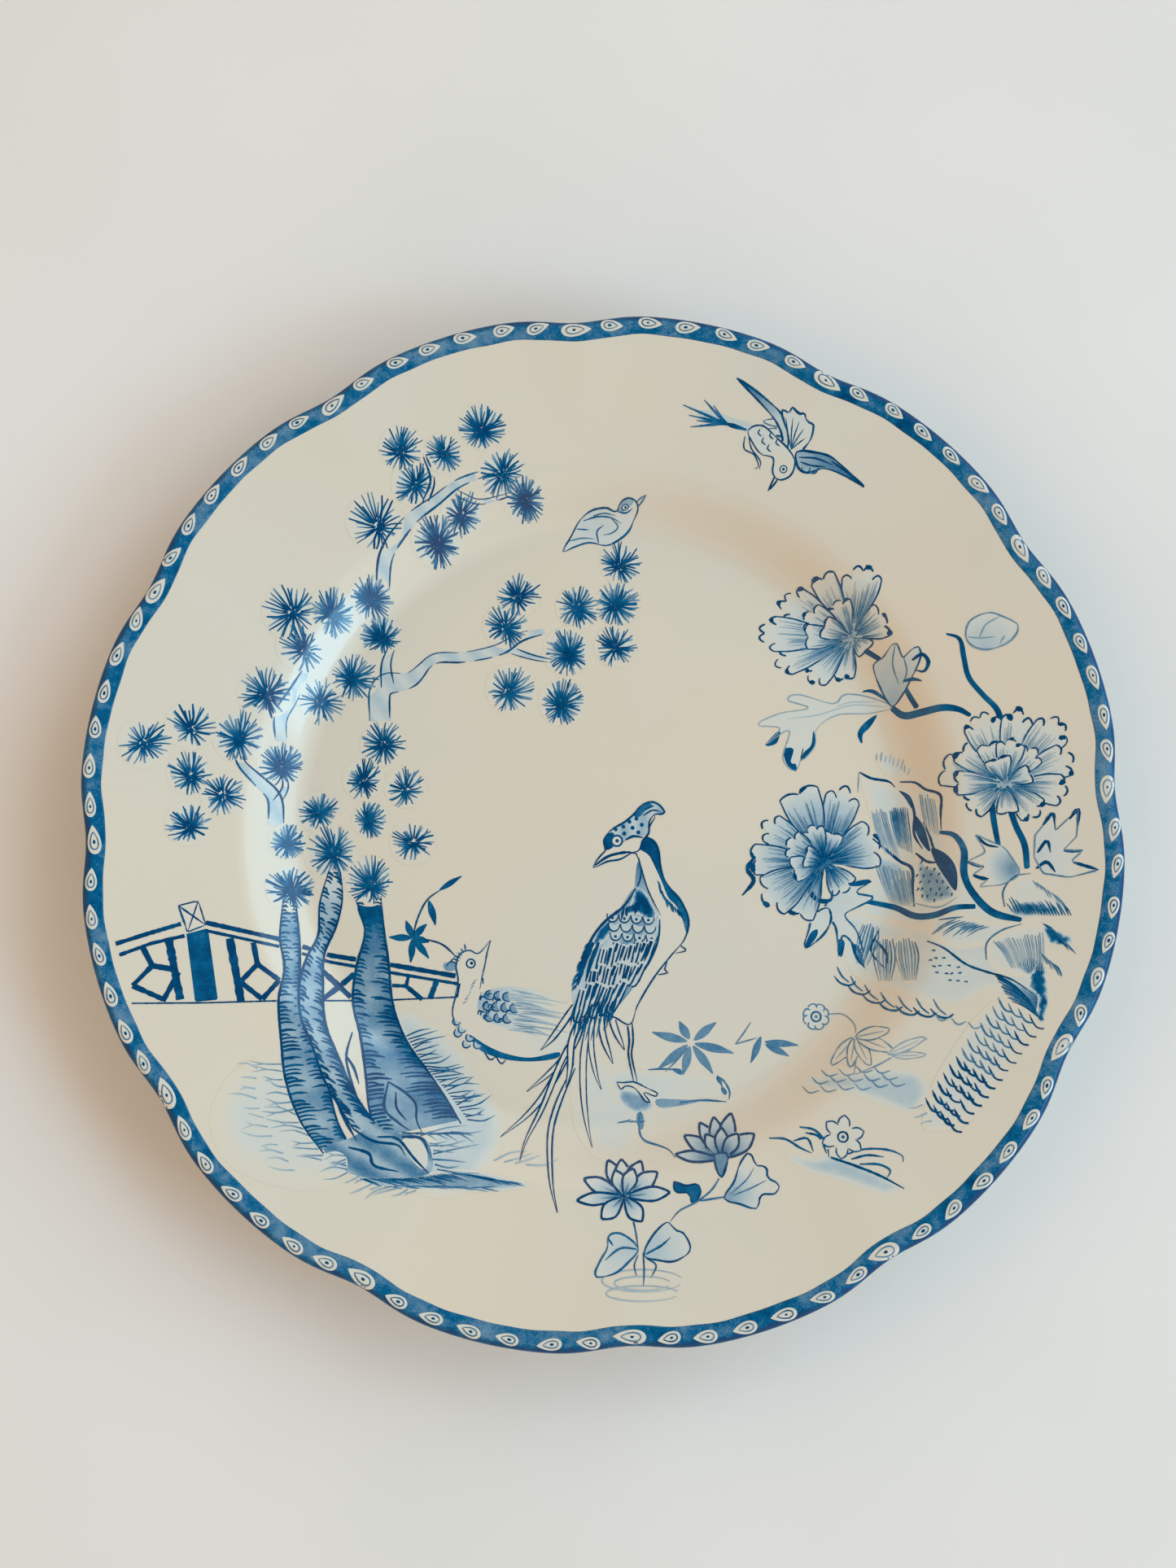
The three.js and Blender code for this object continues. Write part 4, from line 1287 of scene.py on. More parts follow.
# ---- the two small birds -------------------------------------------------------------------------
def draw_perched_bird(art):
    """A small bird above the right crown of the pine."""
    body = [(-10, 72.6), (-8, 76.4), (-5.6, 80.6), (-2.4, 83), (1.6, 83.6), (4, 82.6), (5.2, 84.8),
        (7.4, 85.8), (9.4, 84.8), (9.8, 83), (8.6, 80.4), (7.4, 78), (4.6, 75.6), (1.4, 74.2), (-3, 75),
        (-7, 73.8)]
    patch(art, body, tone=fading(-2, 81, 14, 0.2, 0.06), width=0.42, ink=0.85, pieces=5)
    art.wash([(4.2, 83), (6, 85.3), (8.6, 85.4), (8, 84), (5.6, 82.6)], 0.45)
    strokes(art, [[(9.2, 84.6), (10.4, 85.6), (12, 86.4)], [(9.6, 83.6), (10.8, 84.8), (12, 86.4)],
        [(-4.6, 80.6), (-1, 81.6), (2.6, 81.4), (5.4, 80)], [(-2, 81.8), (1, 82.4), (4, 81.8)],
        [(2.8, 81.2), (4.6, 79.2), (3, 77.6), (0.6, 77)], [(-0.6, 75), (-1, 78), (0.8, 79.6)],
        [(-8.4, 75.4), (-5, 76.2), (-1.6, 76)], [(-6.4, 78.6), (-3, 78.4)],
        [(4.4, 82.8), (6.6, 82.4), (8.4, 83.4)]], 0.34, 0.75)
    eye(art, (6.4, 83.7), (6.5, 83.7), (1.1, 0.7, 0.35), (0.85, 0.08, 0.95), squash=0.7, turn_by=20)


def flying_tail(art):
    """The long tail, the feet and the short feathers under the wing."""
    for end in ((21.5, 108.6), (23, 106), (23.4, 103), (27, 109.8), (29.4, 108.4), (25, 104.6)):
        art.stroke([(38, 102), (33, 103.6), end], 0.6, 0.85, (0.7, 0.3), fade=0.15)
    art.wash([(38.6, 101.4), (33, 103), (26.6, 104.2), (25.6, 107), (30, 106.8), (35, 104.8), (39, 103.6)],
        0.22)
    for foot in ([(37.6, 100.4), (37.4, 97.2), (40, 95.6), (41.2, 92.6), (40, 92)],
            [(38.6, 100), (39.4, 97), (41.6, 94), (41.4, 91.8)], [(39.4, 99.6), (41.4, 98.4), (43, 95.4)]):
        strokes(art, [foot], 0.36)
    for x, y, length in ((47.6, 103.4, 5.4), (48, 101, 5.8), (48.4, 98.8, 6), (48.4, 96.8, 5)):
        under = placed([(0, 0.8), (0.6 * length, 0.9), (length, 0), (0.6 * length, -0.7), (0, -0.8)], x, y,
            172)
        patch(art, under, 0.14, 0.32, 0.75, pieces=2)


def flying_wings(art):
    """A long wing, a fan of feathers in front of it, and the other wing."""
    long_wing = [(35.4, 115.2), (39.4, 112.6), (43.6, 109.2), (47, 105.8), (49, 101.4), (49.6, 96.4),
        (47.8, 96.8), (47, 101), (45, 104.8), (41, 109.4)]
    patch(art, long_wing, tone=fading(36, 115, 15, 0.9, 0.22), width=0.5, pieces=4)
    fan = [(48.6, 95), (48.8, 100), (47, 106.6), (49, 106), (49.8, 107.4), (51.6, 105.6), (52.8, 106),
        (53.6, 103.6), (55.2, 103), (54.8, 99.6), (53, 97), (50.6, 95)]
    patch(art, fan, tone=fading(50, 95, 13, 0.03, 0.18), width=0.5, pieces=5)
    for tip in ((48.2, 104.8), (50, 104.6), (51.6, 103.6), (52.8, 101.8), (53.2, 99.4)):
        art.stroke([(49.6, 96.6), ((49.6 + tip[0]) / 2 - 0.2, (96.6 + tip[1]) / 2), tip], 0.3, 0.8)
    right_wing = [(51, 96), (55.4, 95.8), (60, 94.4), (64, 90.8), (68.6, 86.4), (63, 89.8), (58, 91.6),
        (54, 90.6), (51.4, 92)]
    patch(art, right_wing, tone=fading(68, 87, 17, 0.85, 0.42), width=0.5, pieces=4)
    strokes(art, [[(51.6, 94.6), (56, 94.2), (60.4, 92.4)], [(52, 93.4), (55, 92.4), (58.6, 92)],
        [(60, 93.4), (64, 90.4), (67.6, 87)]], 0.42)
    scales(art, [(53.4, 91.8), (55.4, 91.6)], 1.3, 265, 0.8, 0.4)


def flying_breast(art):
    """The breast and the head, with its beak and eye."""
    breast = [(38.4, 101.8), (42, 103), (46, 99.6), (49, 96.6), (50.6, 93.4), (49.4, 90), (46.4, 89),
        (44.8, 91), (45, 94.6), (42, 95.6), (40, 98)]
    patch(art, breast, tone=fading(47, 92, 10, 0.03, 0.14), width=0.4, pieces=5)
    for x, y in ((44.4, 96.2), (43, 98), (45, 99.4), (42, 100.2), (46.6, 97.6)):
        art.stroke([(x, y), (x - 1, y + 0.9), (x - 0.4, y + 2)], 0.36, 0.8)
    strokes(art, [[(45.4, 90), (44.6, 88.2), (43.6, 86.2)], [(46.2, 89.2), (45, 87.6), (43.8, 86.4)]], 0.42)
    eye(art, (47.6, 91.7), (47.6, 91.7), (1.1, 0.75, 0.4), (0.85, 0.06, 0.95))


def draw_flying_bird(art):
    flying_tail(art)
    flying_wings(art)
    flying_breast(art)


# ---- the peonies ---------------------------------------------------------------------------------
def peony_petal(art, root, tip, width, lobes, deep, bold):
    """A broad petal that opens from its root to a rim of rounded lobes: deep at the root under fine
    veins, thin along its sides, with a heavy brush mark on some of its lobes."""
    reach = math.dist(root, tip)
    angle = math.degrees(math.atan2(tip[1] - root[1], tip[0] - root[0]))

    def at(u, v):
        """A place u of the way to the rim and v of the way to a side."""
        spread = np.interp(u, (0, 0.3, 0.6, 0.85), (0.06, 0.45, 0.85, 1))
        return placed([(u * reach, v * spread * width / 2)], *root, angle)[0]

    arcs = []
    for i in range(lobes):
        swell = art.random.uniform(0.05, 0.1)
        middle = 1 - 2 * (i + 0.5) / lobes
        arcs.append([
            at(0.91 - 0.24 * middle**2 + swell * math.sin(math.pi * t) ** 0.7, middle + (1 - 2 * t) / lobes)
            for t in (0.04, 0.2, 0.5, 0.8, 0.96)
        ])
    rim = [place for arc in arcs for place in arc]
    sides = [[at(u, v) for u in (0, 0.3, 0.6)] for v in (1, -1)]
    art.wash(sides[0] + rim + sides[1][::-1], tone=fading(*root, reach, deep, 0.02), step=0.6, hides=True)
    for side, end in zip(sides, (rim[0], rim[-1])):
        art.stroke(side[1:] + [end], 0.38, 0.85, (0.3, 0.8))
    for _ in range(int(2.4 * width) + 2):
        v = art.random.uniform(-0.9, 0.9)
        near, far = art.random.uniform(0.08, 0.3), art.random.uniform(0.45, 0.8)
        line = [at(u, v) for u in (near, (near + far) / 2, far)]
        art.stroke(line, art.near(0.25, 0.2), art.near(0.55 + 0.4 * deep, 0.15), (1, 0.3), fade=0.5)
    for arc in arcs:
        art.stroke(arc, art.near(0.42, 0.2), 0.9, (0.7, 0.7), step=0.5)
        if art.random.random() < 0.4:
            start = art.random.choice((0, 1, 2))
            art.stroke(arc[start : start + 3], art.near(bold, 0.2), 0.95, (0.3, 0.3), step=0.5)


def peony(art, heart, deep, outer, inner):
    """A full flower: outer petals from the back, then the ruffle in front of them. Each petal is the
    place its rim reaches, its width and its number of lobes."""
    for tip, width, lobes in outer:
        peony_petal(art, heart, tip, width, lobes, deep, 1.05)
    for tip, width, lobes in inner:
        peony_petal(art, heart, tip, width, lobes, min(1, deep * 1.3), 0.8)


def stem(art, line, *widths):
    """A solid dark stem of varying width."""
    left, right = tapered(line, widths, 0.9)
    art.wash(band_between(left, right), tone=lambda p: 0.88 + 0.05 * np.sin(0.8 * p[:, 0] + p[:, 1]),
        curved=False, hides=True)


def draw_tall_peony(art):
    """A leaf, stems and a bud, and the highest flower in front of them."""
    leaf = [(76, 30.4), (70, 33.4), (64, 34), (61, 31.6), (52, 34), (49, 32.6), (54.6, 30.4), (47, 29),
        (41, 26), (47, 25), (43, 20.6), (49.4, 24.6), (47.6, 17), (51, 13.8), (53, 20), (52.4, 16.4),
        (56, 20.4), (56.6, 25), (62, 28.6), (70, 29)]
    patch(art, leaf, 0.09, 0.26, 0.42, pieces=6)
    for tip in (
        [(43, 20.6), (46.8, 24.6), (46.6, 22.4), (45.6, 20.8)],
        [(47.8, 19.4), (48.6, 15.4), (51, 13.6), (51, 15.6), (49.6, 16), (50.4, 19.6)],
        [(52.4, 16.4), (56, 20.4), (55.6, 24.6), (55, 20.6), (53, 18.6)],
    ):
        art.wash(tip, 0.9)
    strokes(art, [[(75, 30.6), (66, 31.2), (57, 28.6), (49, 27.6)], [(62, 31), (66, 32), (72, 32)]], 0.26,
        0.3)
    art.wash([(68.6, 34.6), (71, 34.4), (75.6, 31.4), (72, 35), (69.4, 35.2)], 0.9)
    art.wash([(72.4, 28.6), (69.2, 26.6), (67.2, 23.6), (68.4, 20.8), (68.6, 23.4), (70.6, 25.4)], 0.9)
    stem(art, [(66, 46.6), (69, 45.4), (73, 42.6)], 0.8, 1.3, 1.1)
    stem(art, [(78.6, 36), (80, 33), (82, 29.4)], 0.7, 1.2, 1.2)
    stem(art, [(76, 30.2), (79, 27.8), (83, 28.2), (88, 29), (92, 28.4), (95, 26.6)], 1.4, 1.9, 1.9, 1.7,
        1.0)
    bud = [(76, 30.6), (73, 36), (71.4, 41.4), (73.6, 43), (76.4, 46.4), (78.4, 42.4), (79.6, 43.6),
        (82, 45), (82.6, 42), (80, 36), (78.4, 33)]
    patch(art, bud, tone=fading(76, 32, 14, 0.36, 0.14), width=0.34, ink=0.8, pieces=5)
    strokes(art, [[(76.4, 45.8), (76, 41), (77.6, 36)], [(78.6, 42.4), (79.4, 39), (78.6, 36)]], 0.3, 0.6)
    strokes(art, [[(80.6, 41.6), (83, 43), (84.6, 41), (83.6, 38.6), (81.6, 39)],
        [(78.6, 36.6), (81, 36.8), (83, 36.2)]], 0.8)
    outer = [((74.4, 53), 9.5, 3), ((68.4, 66.5), 10.5, 4), ((57, 66), 6.4, 2), ((70, 45), 5, 2),
        ((62.4, 38), 8, 3), ((54.6, 37.4), 8, 3), ((47.4, 60), 10, 4), ((45.6, 41.8), 8, 3),
        ((41, 50.6), 10, 4)]
    inner = [((61.6, 58.4), 6.6, 3), ((53.4, 55.6), 8, 3), ((53, 49.6), 7, 2), ((58, 52.4), 6, 2)]
    peony(art, (66, 49), 0.45, outer, inner)


def draw_rim_peony(art):
    """A bud, stems and two leaves, and the flower nearest the rim in front of them."""
    bud = [(94, 47), (95, 51), (99.4, 53), (103, 52), (107, 49.4), (105, 45.6), (100, 43.6), (96, 44.4)]
    patch(art, bud, tone=fading(99, 44, 9, 0.3, 0.1), width=0.36, ink=0.55, pieces=4)
    strokes(art, [[(94.4, 47), (97.4, 46.6), (101.4, 46.8)], [(97.4, 46.8), (99, 50), (102.6, 52)],
        [(103.6, 47), (102.4, 44.8)]], 0.3, 0.45)
    stem(art, [(89, 48), (92.4, 46.6), (93.4, 42), (94.6, 36.6), (98, 32), (101.8, 27.4), (102.6, 20.5)],
        0.5, 1.3, 1.3, 1.3, 1.5, 1.7)
    stem(art, [(99.6, 6), (100, 0), (101, -7)], 1.4, 1.5, 1.2)
    stem(art, [(103.6, 4), (105.4, -2), (107.4, -7), (107.8, -13)], 1.4, 1.5, 1.6, 1.4)
    left = [(106, -13), (102.6, -7.6), (95.4, -4), (98, -8.6), (93.2, -11), (97.4, -12.4), (94.4, -14.4),
        (98.4, -15.4), (96, -17.4), (101.6, -17), (105.6, -15)]
    patch(art, left, tone=fading(104.5, -12.6, 7, 0.6, 0.05), width=0.3, ink=0.5, pieces=6, curved=False)
    right = [(109.6, -10), (110, -4.6), (114.6, 1.2), (115, -3.4), (120.6, 1.8), (120, -5), (116.6, -8.6),
        (121.4, -8.6), (118.4, -11.4), (125, -13.6), (118, -15.4), (111.6, -14.2)]
    patch(art, right, tone=fading(110, -10, 12, 0.2, 0.04), width=0.34, ink=0.6, pieces=6, curved=False)
    strokes(art, [[(95.6, -4.2), (98, -6.6), (101, -7.4)], [(93.4, -11), (95.8, -12), (97.4, -12.2)],
        [(94.6, -14.4), (96.6, -15.2), (98.4, -15.4)], [(112, -2), (114.4, 1), (114.8, -2)],
        [(118.4, -0.6), (120.6, 1.8), (120.2, -3)], [(116.8, -8.6), (119.4, -8.8), (121.4, -8.6)],
        [(119, -11.6), (122, -12.6), (125, -13.6)], [(110, -13), (112.6, -11.4), (114.6, -14)],
        [(110.4, -9), (112.8, -6), (113.6, -9)]], 0.7)
    outer = [((86.4, 13.6), 8.5, 2), ((91.4, 18.6), 7, 2), ((96.6, 27.6), 10, 4), ((107, 28), 8, 3),
        ((117.6, 25), 10, 4), ((120.4, 15.6), 9, 3), ((118.6, 6.4), 8.5, 3), ((111, 0.4), 8, 3),
        ((103.6, 0.4), 5.6, 2), ((93.4, 2.6), 8, 3), ((90, 9.4), 6.5, 2)]
    inner = [((98.6, 20), 6.4, 2), ((111, 17.6), 7, 3), ((105, 20.6), 7.4, 3), ((110, 11.6), 5, 2),
        ((101, 16), 7, 2)]
    peony(art, (103, 9), 0.42, outer, inner)


def draw_river_peony(art):
    """Stems and leaves, and the darkest flower in front of them."""
    stem(art, [(64, -19), (69, -20.4), (76, -22), (80.5, -24.4), (85, -24.4), (90, -22.6), (95, -22.4)],
        1.0, 1.2, 1.4, 1.7, 1.6, 1.4, 1.2)
    stem(art, [(87, -3), (90.4, -4), (92.6, -8), (92.4, -14), (94.4, -19), (99, -24), (106, -26)], 0.9, 1.5,
        1.8, 1.7, 1.9, 1.9, 1.2)
    for outline in ([(60, -19), (64, -16), (70, -15), (66, -18), (70.6, -19.4), (66, -22), (63, -24),
            (66, -28), (67.4, -34), (62.6, -29), (61.4, -34.6), (60.6, -27), (57.6, -23)],
            [(58.6, -22), (55, -24), (53.6, -28), (52.6, -32.4), (57, -29.4), (59.4, -25.4)]):
        patch(art, outline, tone=fading(60, -20, 14, 0.2, 0.06), width=0.45, ink=0.8, pieces=5)
    for tip in (
        [(52.6, -32.6), (54, -28.6), (56, -27.6), (55.4, -30)],
        [(61.8, -34.8), (61.2, -30.4), (62.8, -30.6), (62.6, -33)],
        [(67.8, -37.4), (65, -32.4), (66, -31.4), (67.2, -33.6)],
        [(64, -16.2), (67, -15), (70.4, -15.2), (67, -16.4)],
    ):
        art.wash(tip, 0.88)
    outer = [((64, -18), 8, 3), ((50.4, -25.6), 8, 2), ((72.6, -4.4), 13, 3), ((64, 9.6), 9.5, 3),
        ((50.6, 10.4), 11, 2), ((41.6, 0.4), 8.4, 3), ((37.4, -9.4), 8.4, 2), ((41.4, -20.8), 12, 3)]
    inner = [((60.6, -1.8), 6, 2), ((54.4, -0.4), 6.6, 3), ((48, -4.4), 7.6, 3), ((49, -12.4), 7, 2),
        ((52.4, -8.4), 6, 2)]
    peony(art, (58, -10), 0.85, outer, inner)
    strokes(art, [[(55, -13), (54, -17), (56, -20), (59.4, -20), (60, -17.4)],
        [(40, -8.6), (38, -12), (39.6, -15), (36.6, -18.8)]], 1.1)


# ---- rocks and shore at the right ----------------------------------------------------------------
def strokes_down(art, left, right, count, width=0.28, ink=0.7, fade=0.3):
    """Long shading strokes between two lines that run side by side, from points on one to the other."""
    for t in np.linspace(0, 1, count):
        t = min(1, max(0, t + art.random.uniform(-0.3, 0.3) / count))
        line = []
        for a, b in zip(left, right):
            line.append((a[0] + (b[0] - a[0]) * t, a[1] + (b[1] - a[1]) * t))
        low = art.random.uniform(0, 0.25)
        head = tuple(np.array(line[0]) + low * (np.array(line[1]) - np.array(line[0])))
        art.stroke([head] + line[1:], art.near(width, 0.3), art.near(ink, 0.2), (0.6, 0.3), fade=fade)


def ticks(art, outline, gap, angle, ink=0.85):
    """Small dashes scattered over a patch."""
    ring = smooth(outline, 0.8, closed=True)
    low, high = ring.min(0), ring.max(0)
    for j, y in enumerate(np.arange(low[1], high[1], gap)):
        for x in np.arange(low[0] + gap / 2 * (j % 2), high[0], gap):
            place = np.array([[x + art.random.uniform(-0.4, 0.4), y + art.random.uniform(-0.3, 0.3)]])
            if inside(place, ring)[0]:
                start = tuple(place[0])
                art.stroke([start, polar(*start, angle + art.random.uniform(-20, 20), 0.9)], 0.42, ink,
                    (1, 0.4))


def mound(art, outline, spine, fill, dark):
    """A mound: a pale patch, a dark end and a line along its crown."""
    art.wash(outline, fill, soft=2.5, hides=True)
    art.wash(dark, tone=lambda p: 0.75 + 0.1 * np.sin(2 * p[:, 0]), soft=1.2)
    strokes(art, [spine], 0.34, 0.7)


def cliff(art):
    """A cliff of shaded faces with dark clefts."""
    art.wash([(68, 12), (74, 11), (79, 9), (86, 6), (89, -2), (92, -14), (98, -22), (104, -30), (98, -38),
        (84, -36), (72, -38), (66, -30), (68, -18), (72, -8), (70, 2)], 0.12, soft=3)
    art.wash([(62, -24), (72, -24), (84, -27), (98, -27), (108, -34), (108, -46), (98, -44), (88, -48),
        (74, -44), (64, -38)], 0.15, soft=3)
    art.wash([(72, 16), (76, 18), (82, 13), (84, 11), (76, 12)], 0.12, soft=2)
    hatch(art, [(72, 16.5), (76, 15.5), (80, 12.5)], 80, 2.4, 1.2, 0.3, 0.4)
    for outline, ink in (
        ([(70, 4), (72.6, 3), (74.6, -2), (77, -8), (73.6, -6), (71.6, -2)], 0.4),
        ([(75, 4), (79, 4.4), (80, 0), (80.4, -6), (77.4, -5), (75.4, -1)], 0.55),
        ([(71, -9), (75, -9), (79.4, -12), (80.4, -20.6), (75, -20.4), (72.6, -16)], 0.34),
        ([(75, -15), (79.6, -14), (80.4, -21), (76, -21)], 0.55),
        ([(82.4, 8.6), (86, 6.6), (86.8, 0), (84.6, -2), (83, 2)], 0.22),
        ([(81.4, -9), (84, -11), (87, -12.4), (90.4, -19.4), (86, -21.4), (82, -20.6)], 0.52),
    ):
        art.wash(outline, ink, soft=1.6)
    strokes_down(art, [(70.4, 4), (71.6, -2), (74, -8)], [(74, 4), (75.4, -2), (77.6, -9)], 9, 0.27, 0.55)
    strokes_down(art, [(75, 4.4), (75.8, -1), (77, -6)], [(79.6, 4.4), (80.2, -2), (80.6, -8)], 12, 0.27,
        0.75)
    strokes_down(art, [(71, -10), (72.6, -15), (75, -21)], [(79.6, -12), (80, -17), (80.4, -22)], 16, 0.26,
        0.6)
    strokes_down(art, [(82.6, 8), (83.2, 3), (84, -2)], [(86, 6.4), (86.6, 1), (86.8, -4)], 7, 0.25, 0.5)
    ticks(art, [(82, -10), (86, -12), (90, -19), (86, -20.4), (82, -19)], 1.7, 250)
    for cleft in (
        [(81.4, 2), (83.4, -1), (84.4, -5), (84.8, -8), (82.8, -5.4), (81.2, -1)],
        [(85, -7), (88, -8.4), (90.2, -11.4), (90.8, -15), (90.2, -18.4), (88.2, -15.4), (86, -11)],
        [(77.6, 8.6), (80.4, 7), (81.6, 3), (80.8, 3.6), (79, 6.8)],
    ):
        art.wash(cleft, 0.98)
    strokes(art, [[(67.6, 13.4), (70.6, 11.8), (75, 11), (76.8, 9.4)],
        [(78, 10.8), (81.6, 10.4), (84, 8.4), (87.4, 6.6), (87.4, 2), (87.4, -2.4)],
        [(80.6, 6), (81.4, 2), (81.2, -3), (83, -7)], [(83.4, 0), (84.8, -4), (86, -8), (89.4, -12),
        (90.4, -18)], [(70.6, -4), (74.6, -7.4), (77.6, -10), (80.4, -12), (80.4, -17), (80.6, -22)],
        [(81.4, -8), (84, -10.4), (86.6, -10.8)]], 0.6, 0.92)
    strokes(art, [[(67.4, 13.4), (67, 8)], [(80.4, -21), (86, -22.4), (90.6, -20)]], 0.26, 0.45)


def mounds(art):
    """The mounds in front of the cliff, and the leaves that hang among them."""
    for x, y, tilt in ((70, -26, 255), (73, -30, 268), (78, -30, 272)):
        side = placed([(0, -2), (5, -2.6), (11, -1.4)], x, y, tilt)
        other = placed([(0, 2), (5, 2.6), (11, 1.4)], x, y, tilt)
        art.wash(side + other[::-1], 0.26, soft=1.5)
        strokes_down(art, side, other, 8, 0.28, 0.65)
    strokes(art, [[(70.6, -30), (73.4, -34), (73, -38)], [(71.6, -28), (69.6, -33), (72.6, -37.6)]], 0.6)
    strokes(art, [[(64.6, -31), (66, -35), (68, -37.6)]], 0.7)
    mound(art, [(84, -24), (92, -24), (98, -26), (104, -27), (98, -32), (90, -33), (84, -30)],
        [(86, -25.6), (92, -25)], 0.14, [(90, -27), (94, -26), (96, -28), (92, -29.4)])
    hatch(art, [(90, -25.6), (94, -26.6), (98, -27.6)], 205, 6, 1.1, 0.32, 0.75)
    crown = [(102, -22), (102, -18), (105, -14.6), (109, -14.4), (113, -17), (117, -20), (119.4, -24.6),
        (112, -25), (106, -25)]
    mound(art, crown, [(102, -22.6), (101.8, -18.6), (104.6, -15), (108.6, -14.2)], 0.1,
        [(103, -23), (107, -21), (112, -22), (118.6, -24.8), (110, -25.2), (105, -25.2)])
    hatch(art, [(104, -24), (108, -24.6), (113, -25), (118, -25)], 118, 3.6, 0.7, 0.34, 0.85)
    hatch(art, [(109, -16), (112, -18), (115, -20.4)], 300, 3.4, 1.0, 0.3, 0.6)
    broad = [(97, -32), (100, -29), (106, -27), (112, -27), (113, -31), (110, -36), (110, -40), (102, -40),
        (98, -37)]
    mound(art, broad, [(97, -36), (97.4, -31.6), (101, -28.6), (106, -27)], 0.12,
        [(104, -37), (108, -35), (110.6, -38), (107, -40)])
    strokes_down(art, [(98.6, -31), (101, -34), (103, -38)], [(111, -29), (111, -34), (110.4, -39)], 20,
        0.26, 0.5)
    for end in ([(111, -27), (114, -28.4), (118.6, -31), (116, -32.6), (112.4, -31.6)],
            [(110, -37), (112.4, -38.4), (114.6, -36.4), (114.4, -39.4), (111.6, -39.6)]):
        art.wash(end, 0.85, soft=0.6)
    hatch(art, [(111, -27), (113, -29), (115, -31.6)], 320, 4, 0.7, 0.34, 0.85)
    hatch(art, [(110, -34), (112, -36), (114, -37.6)], 300, 3, 0.8, 0.3, 0.75)
    shoulder = [(98, -39), (104, -41), (109, -44), (111, -47), (110.4, -51), (106, -49), (102, -45)]
    art.wash(shoulder, tone=fading(109, -47, 10, 0.8, 0.2), soft=1.2, hides=True)
    strokes_down(art, [(98, -39), (103, -42), (107, -46)], [(102, -46), (106, -48), (109.6, -51)], 14, 0.3,
        0.8, fade=-0.1)
    art.wash([(110, -36), (111.4, -41), (111.6, -46), (110, -51.6), (108.4, -50), (109, -45), (107, -42)],
        0.9, soft=0.5)
    strokes(art, [[(83, -31), (87, -33), (92, -37), (97, -39), (103, -41), (108, -44.6)]], 0.5, 0.85)
    ticks(art, [(84, -33), (88, -35), (92, -38.6), (93, -43), (88, -42), (84, -38)], 1.9, 185, 0.8)


def draw_rocks(art):
    cliff(art)
    mounds(art)


def draw_shore(art):
    """A bank of ripples that runs down the rim, and the scalloped chain of wavelets beside it."""
    art.wash([(100, -46), (108, -50), (106, -56), (98, -68), (90, -77), (80, -78), (82, -68), (88, -58),
        (94, -50)], 0.13, soft=3)
    rows = 13
    for row in range(rows):
        t = row / (rows - 1)
        start, end = np.array([(100 - 18.5 * t, -47 - 25 * t), (109.5 - 21.5 * t, -52.5 - 25.5 * t)])
        for k in range(4):
            if art.random.random() < 0.1:
                continue
            x, y = start + (end - start) * (k + art.random.uniform(-0.1, 0.1)) / 4
            wave = [(x - 0.6, y + 1.6), (x, y), (x + 0.7, y - 1.3), (x + 1.6, y - 1.9), (x + 2.7, y - 2)]
            tone = 0.9 if row > 6 or k == 3 else 0.65
            art.stroke(wave, art.near(0.52 if row > 6 else 0.4, 0.2), tone, (0.2, 0.8), fade=-0.05)
    chain = [(60, -39.6), (65, -43), (70, -46), (76, -47.6), (82, -48), (87, -49)]
    for x, y in smooth(chain, 4.2)[:-1]:
        wavelet = [(x, y), (x + 1.6, y - 1.8), (x + 4, y - 2.4), (x + 5.6, y - 1.4)]
        art.stroke(wavelet, art.near(0.52, 0.2), 0.8, (0.4, 0.6))
        art.stroke([(x + 0.8, y + 2.4), (x + 2, y), (x + 3.8, y - 1.6)], 0.36, 0.7, (0.4, 0.6))
    for x, y in ((84, -49.6), (88, -50.6), (92, -51.6)):
        art.stroke([(x, y), (x + 1.4, y - 1.6), (x + 3.6, y - 0.8)], 0.32, 0.5)
    hairs(art, [(80, -72), (82, -76)], 200, 4, 2.2, ink=0.4)


def round_flower(art, x, y, petals, reach, width, pointed, ink=0.6):
    """A small open flower: petals round a ringed eye."""
    for i in range(petals):
        angle = 360 * (i + art.random.uniform(-0.1, 0.1)) / petals + 20
        end = 1.0 if pointed else 0.94
        shape = [(0.9, 0), (reach * 0.55, width * 0.42), (reach * 0.85, width * 0.36), (reach * end, 0),
            (reach * 0.85, -width * 0.36), (reach * 0.55, -width * 0.42)]
        if pointed:
            shape[3] = (reach * 1.08, 0)
        petal = placed(shape, x, y, angle)
        art.wash(petal, 0.08, step=0.5, hides=True)
        art.stroke(petal[1:4], 0.34, ink, (0.5, 0.7), step=0.5)
        art.stroke(petal[5:2:-1], 0.34, ink, (0.5, 0.7), step=0.5)
    ring = [polar(x, y, a, 1.25) for a in range(0, 361, 40)]
    art.stroke(ring, 0.4, ink + 0.1, (1, 1), step=0.4)
    art.dot(x, y, 0.45, ink)


def outlined_leaf(art, x, y, angle, length, width, ink=0.55):
    """A pale leaf with an outline and a rib."""
    shape = [(0, 0), (0.3, 0.4), (0.62, 0.46), (1, 0), (0.62, -0.4), (0.3, -0.42)]
    leaf = stretched(shape, x, y, angle, length, width)
    art.wash(leaf, 0.05, step=0.6, hides=True)
    edge(art, leaf, 0.32, ink, 3)
    strokes(art, [[(x, y), polar(x, y, angle, length * 0.8)]], 0.24, ink * 0.8)


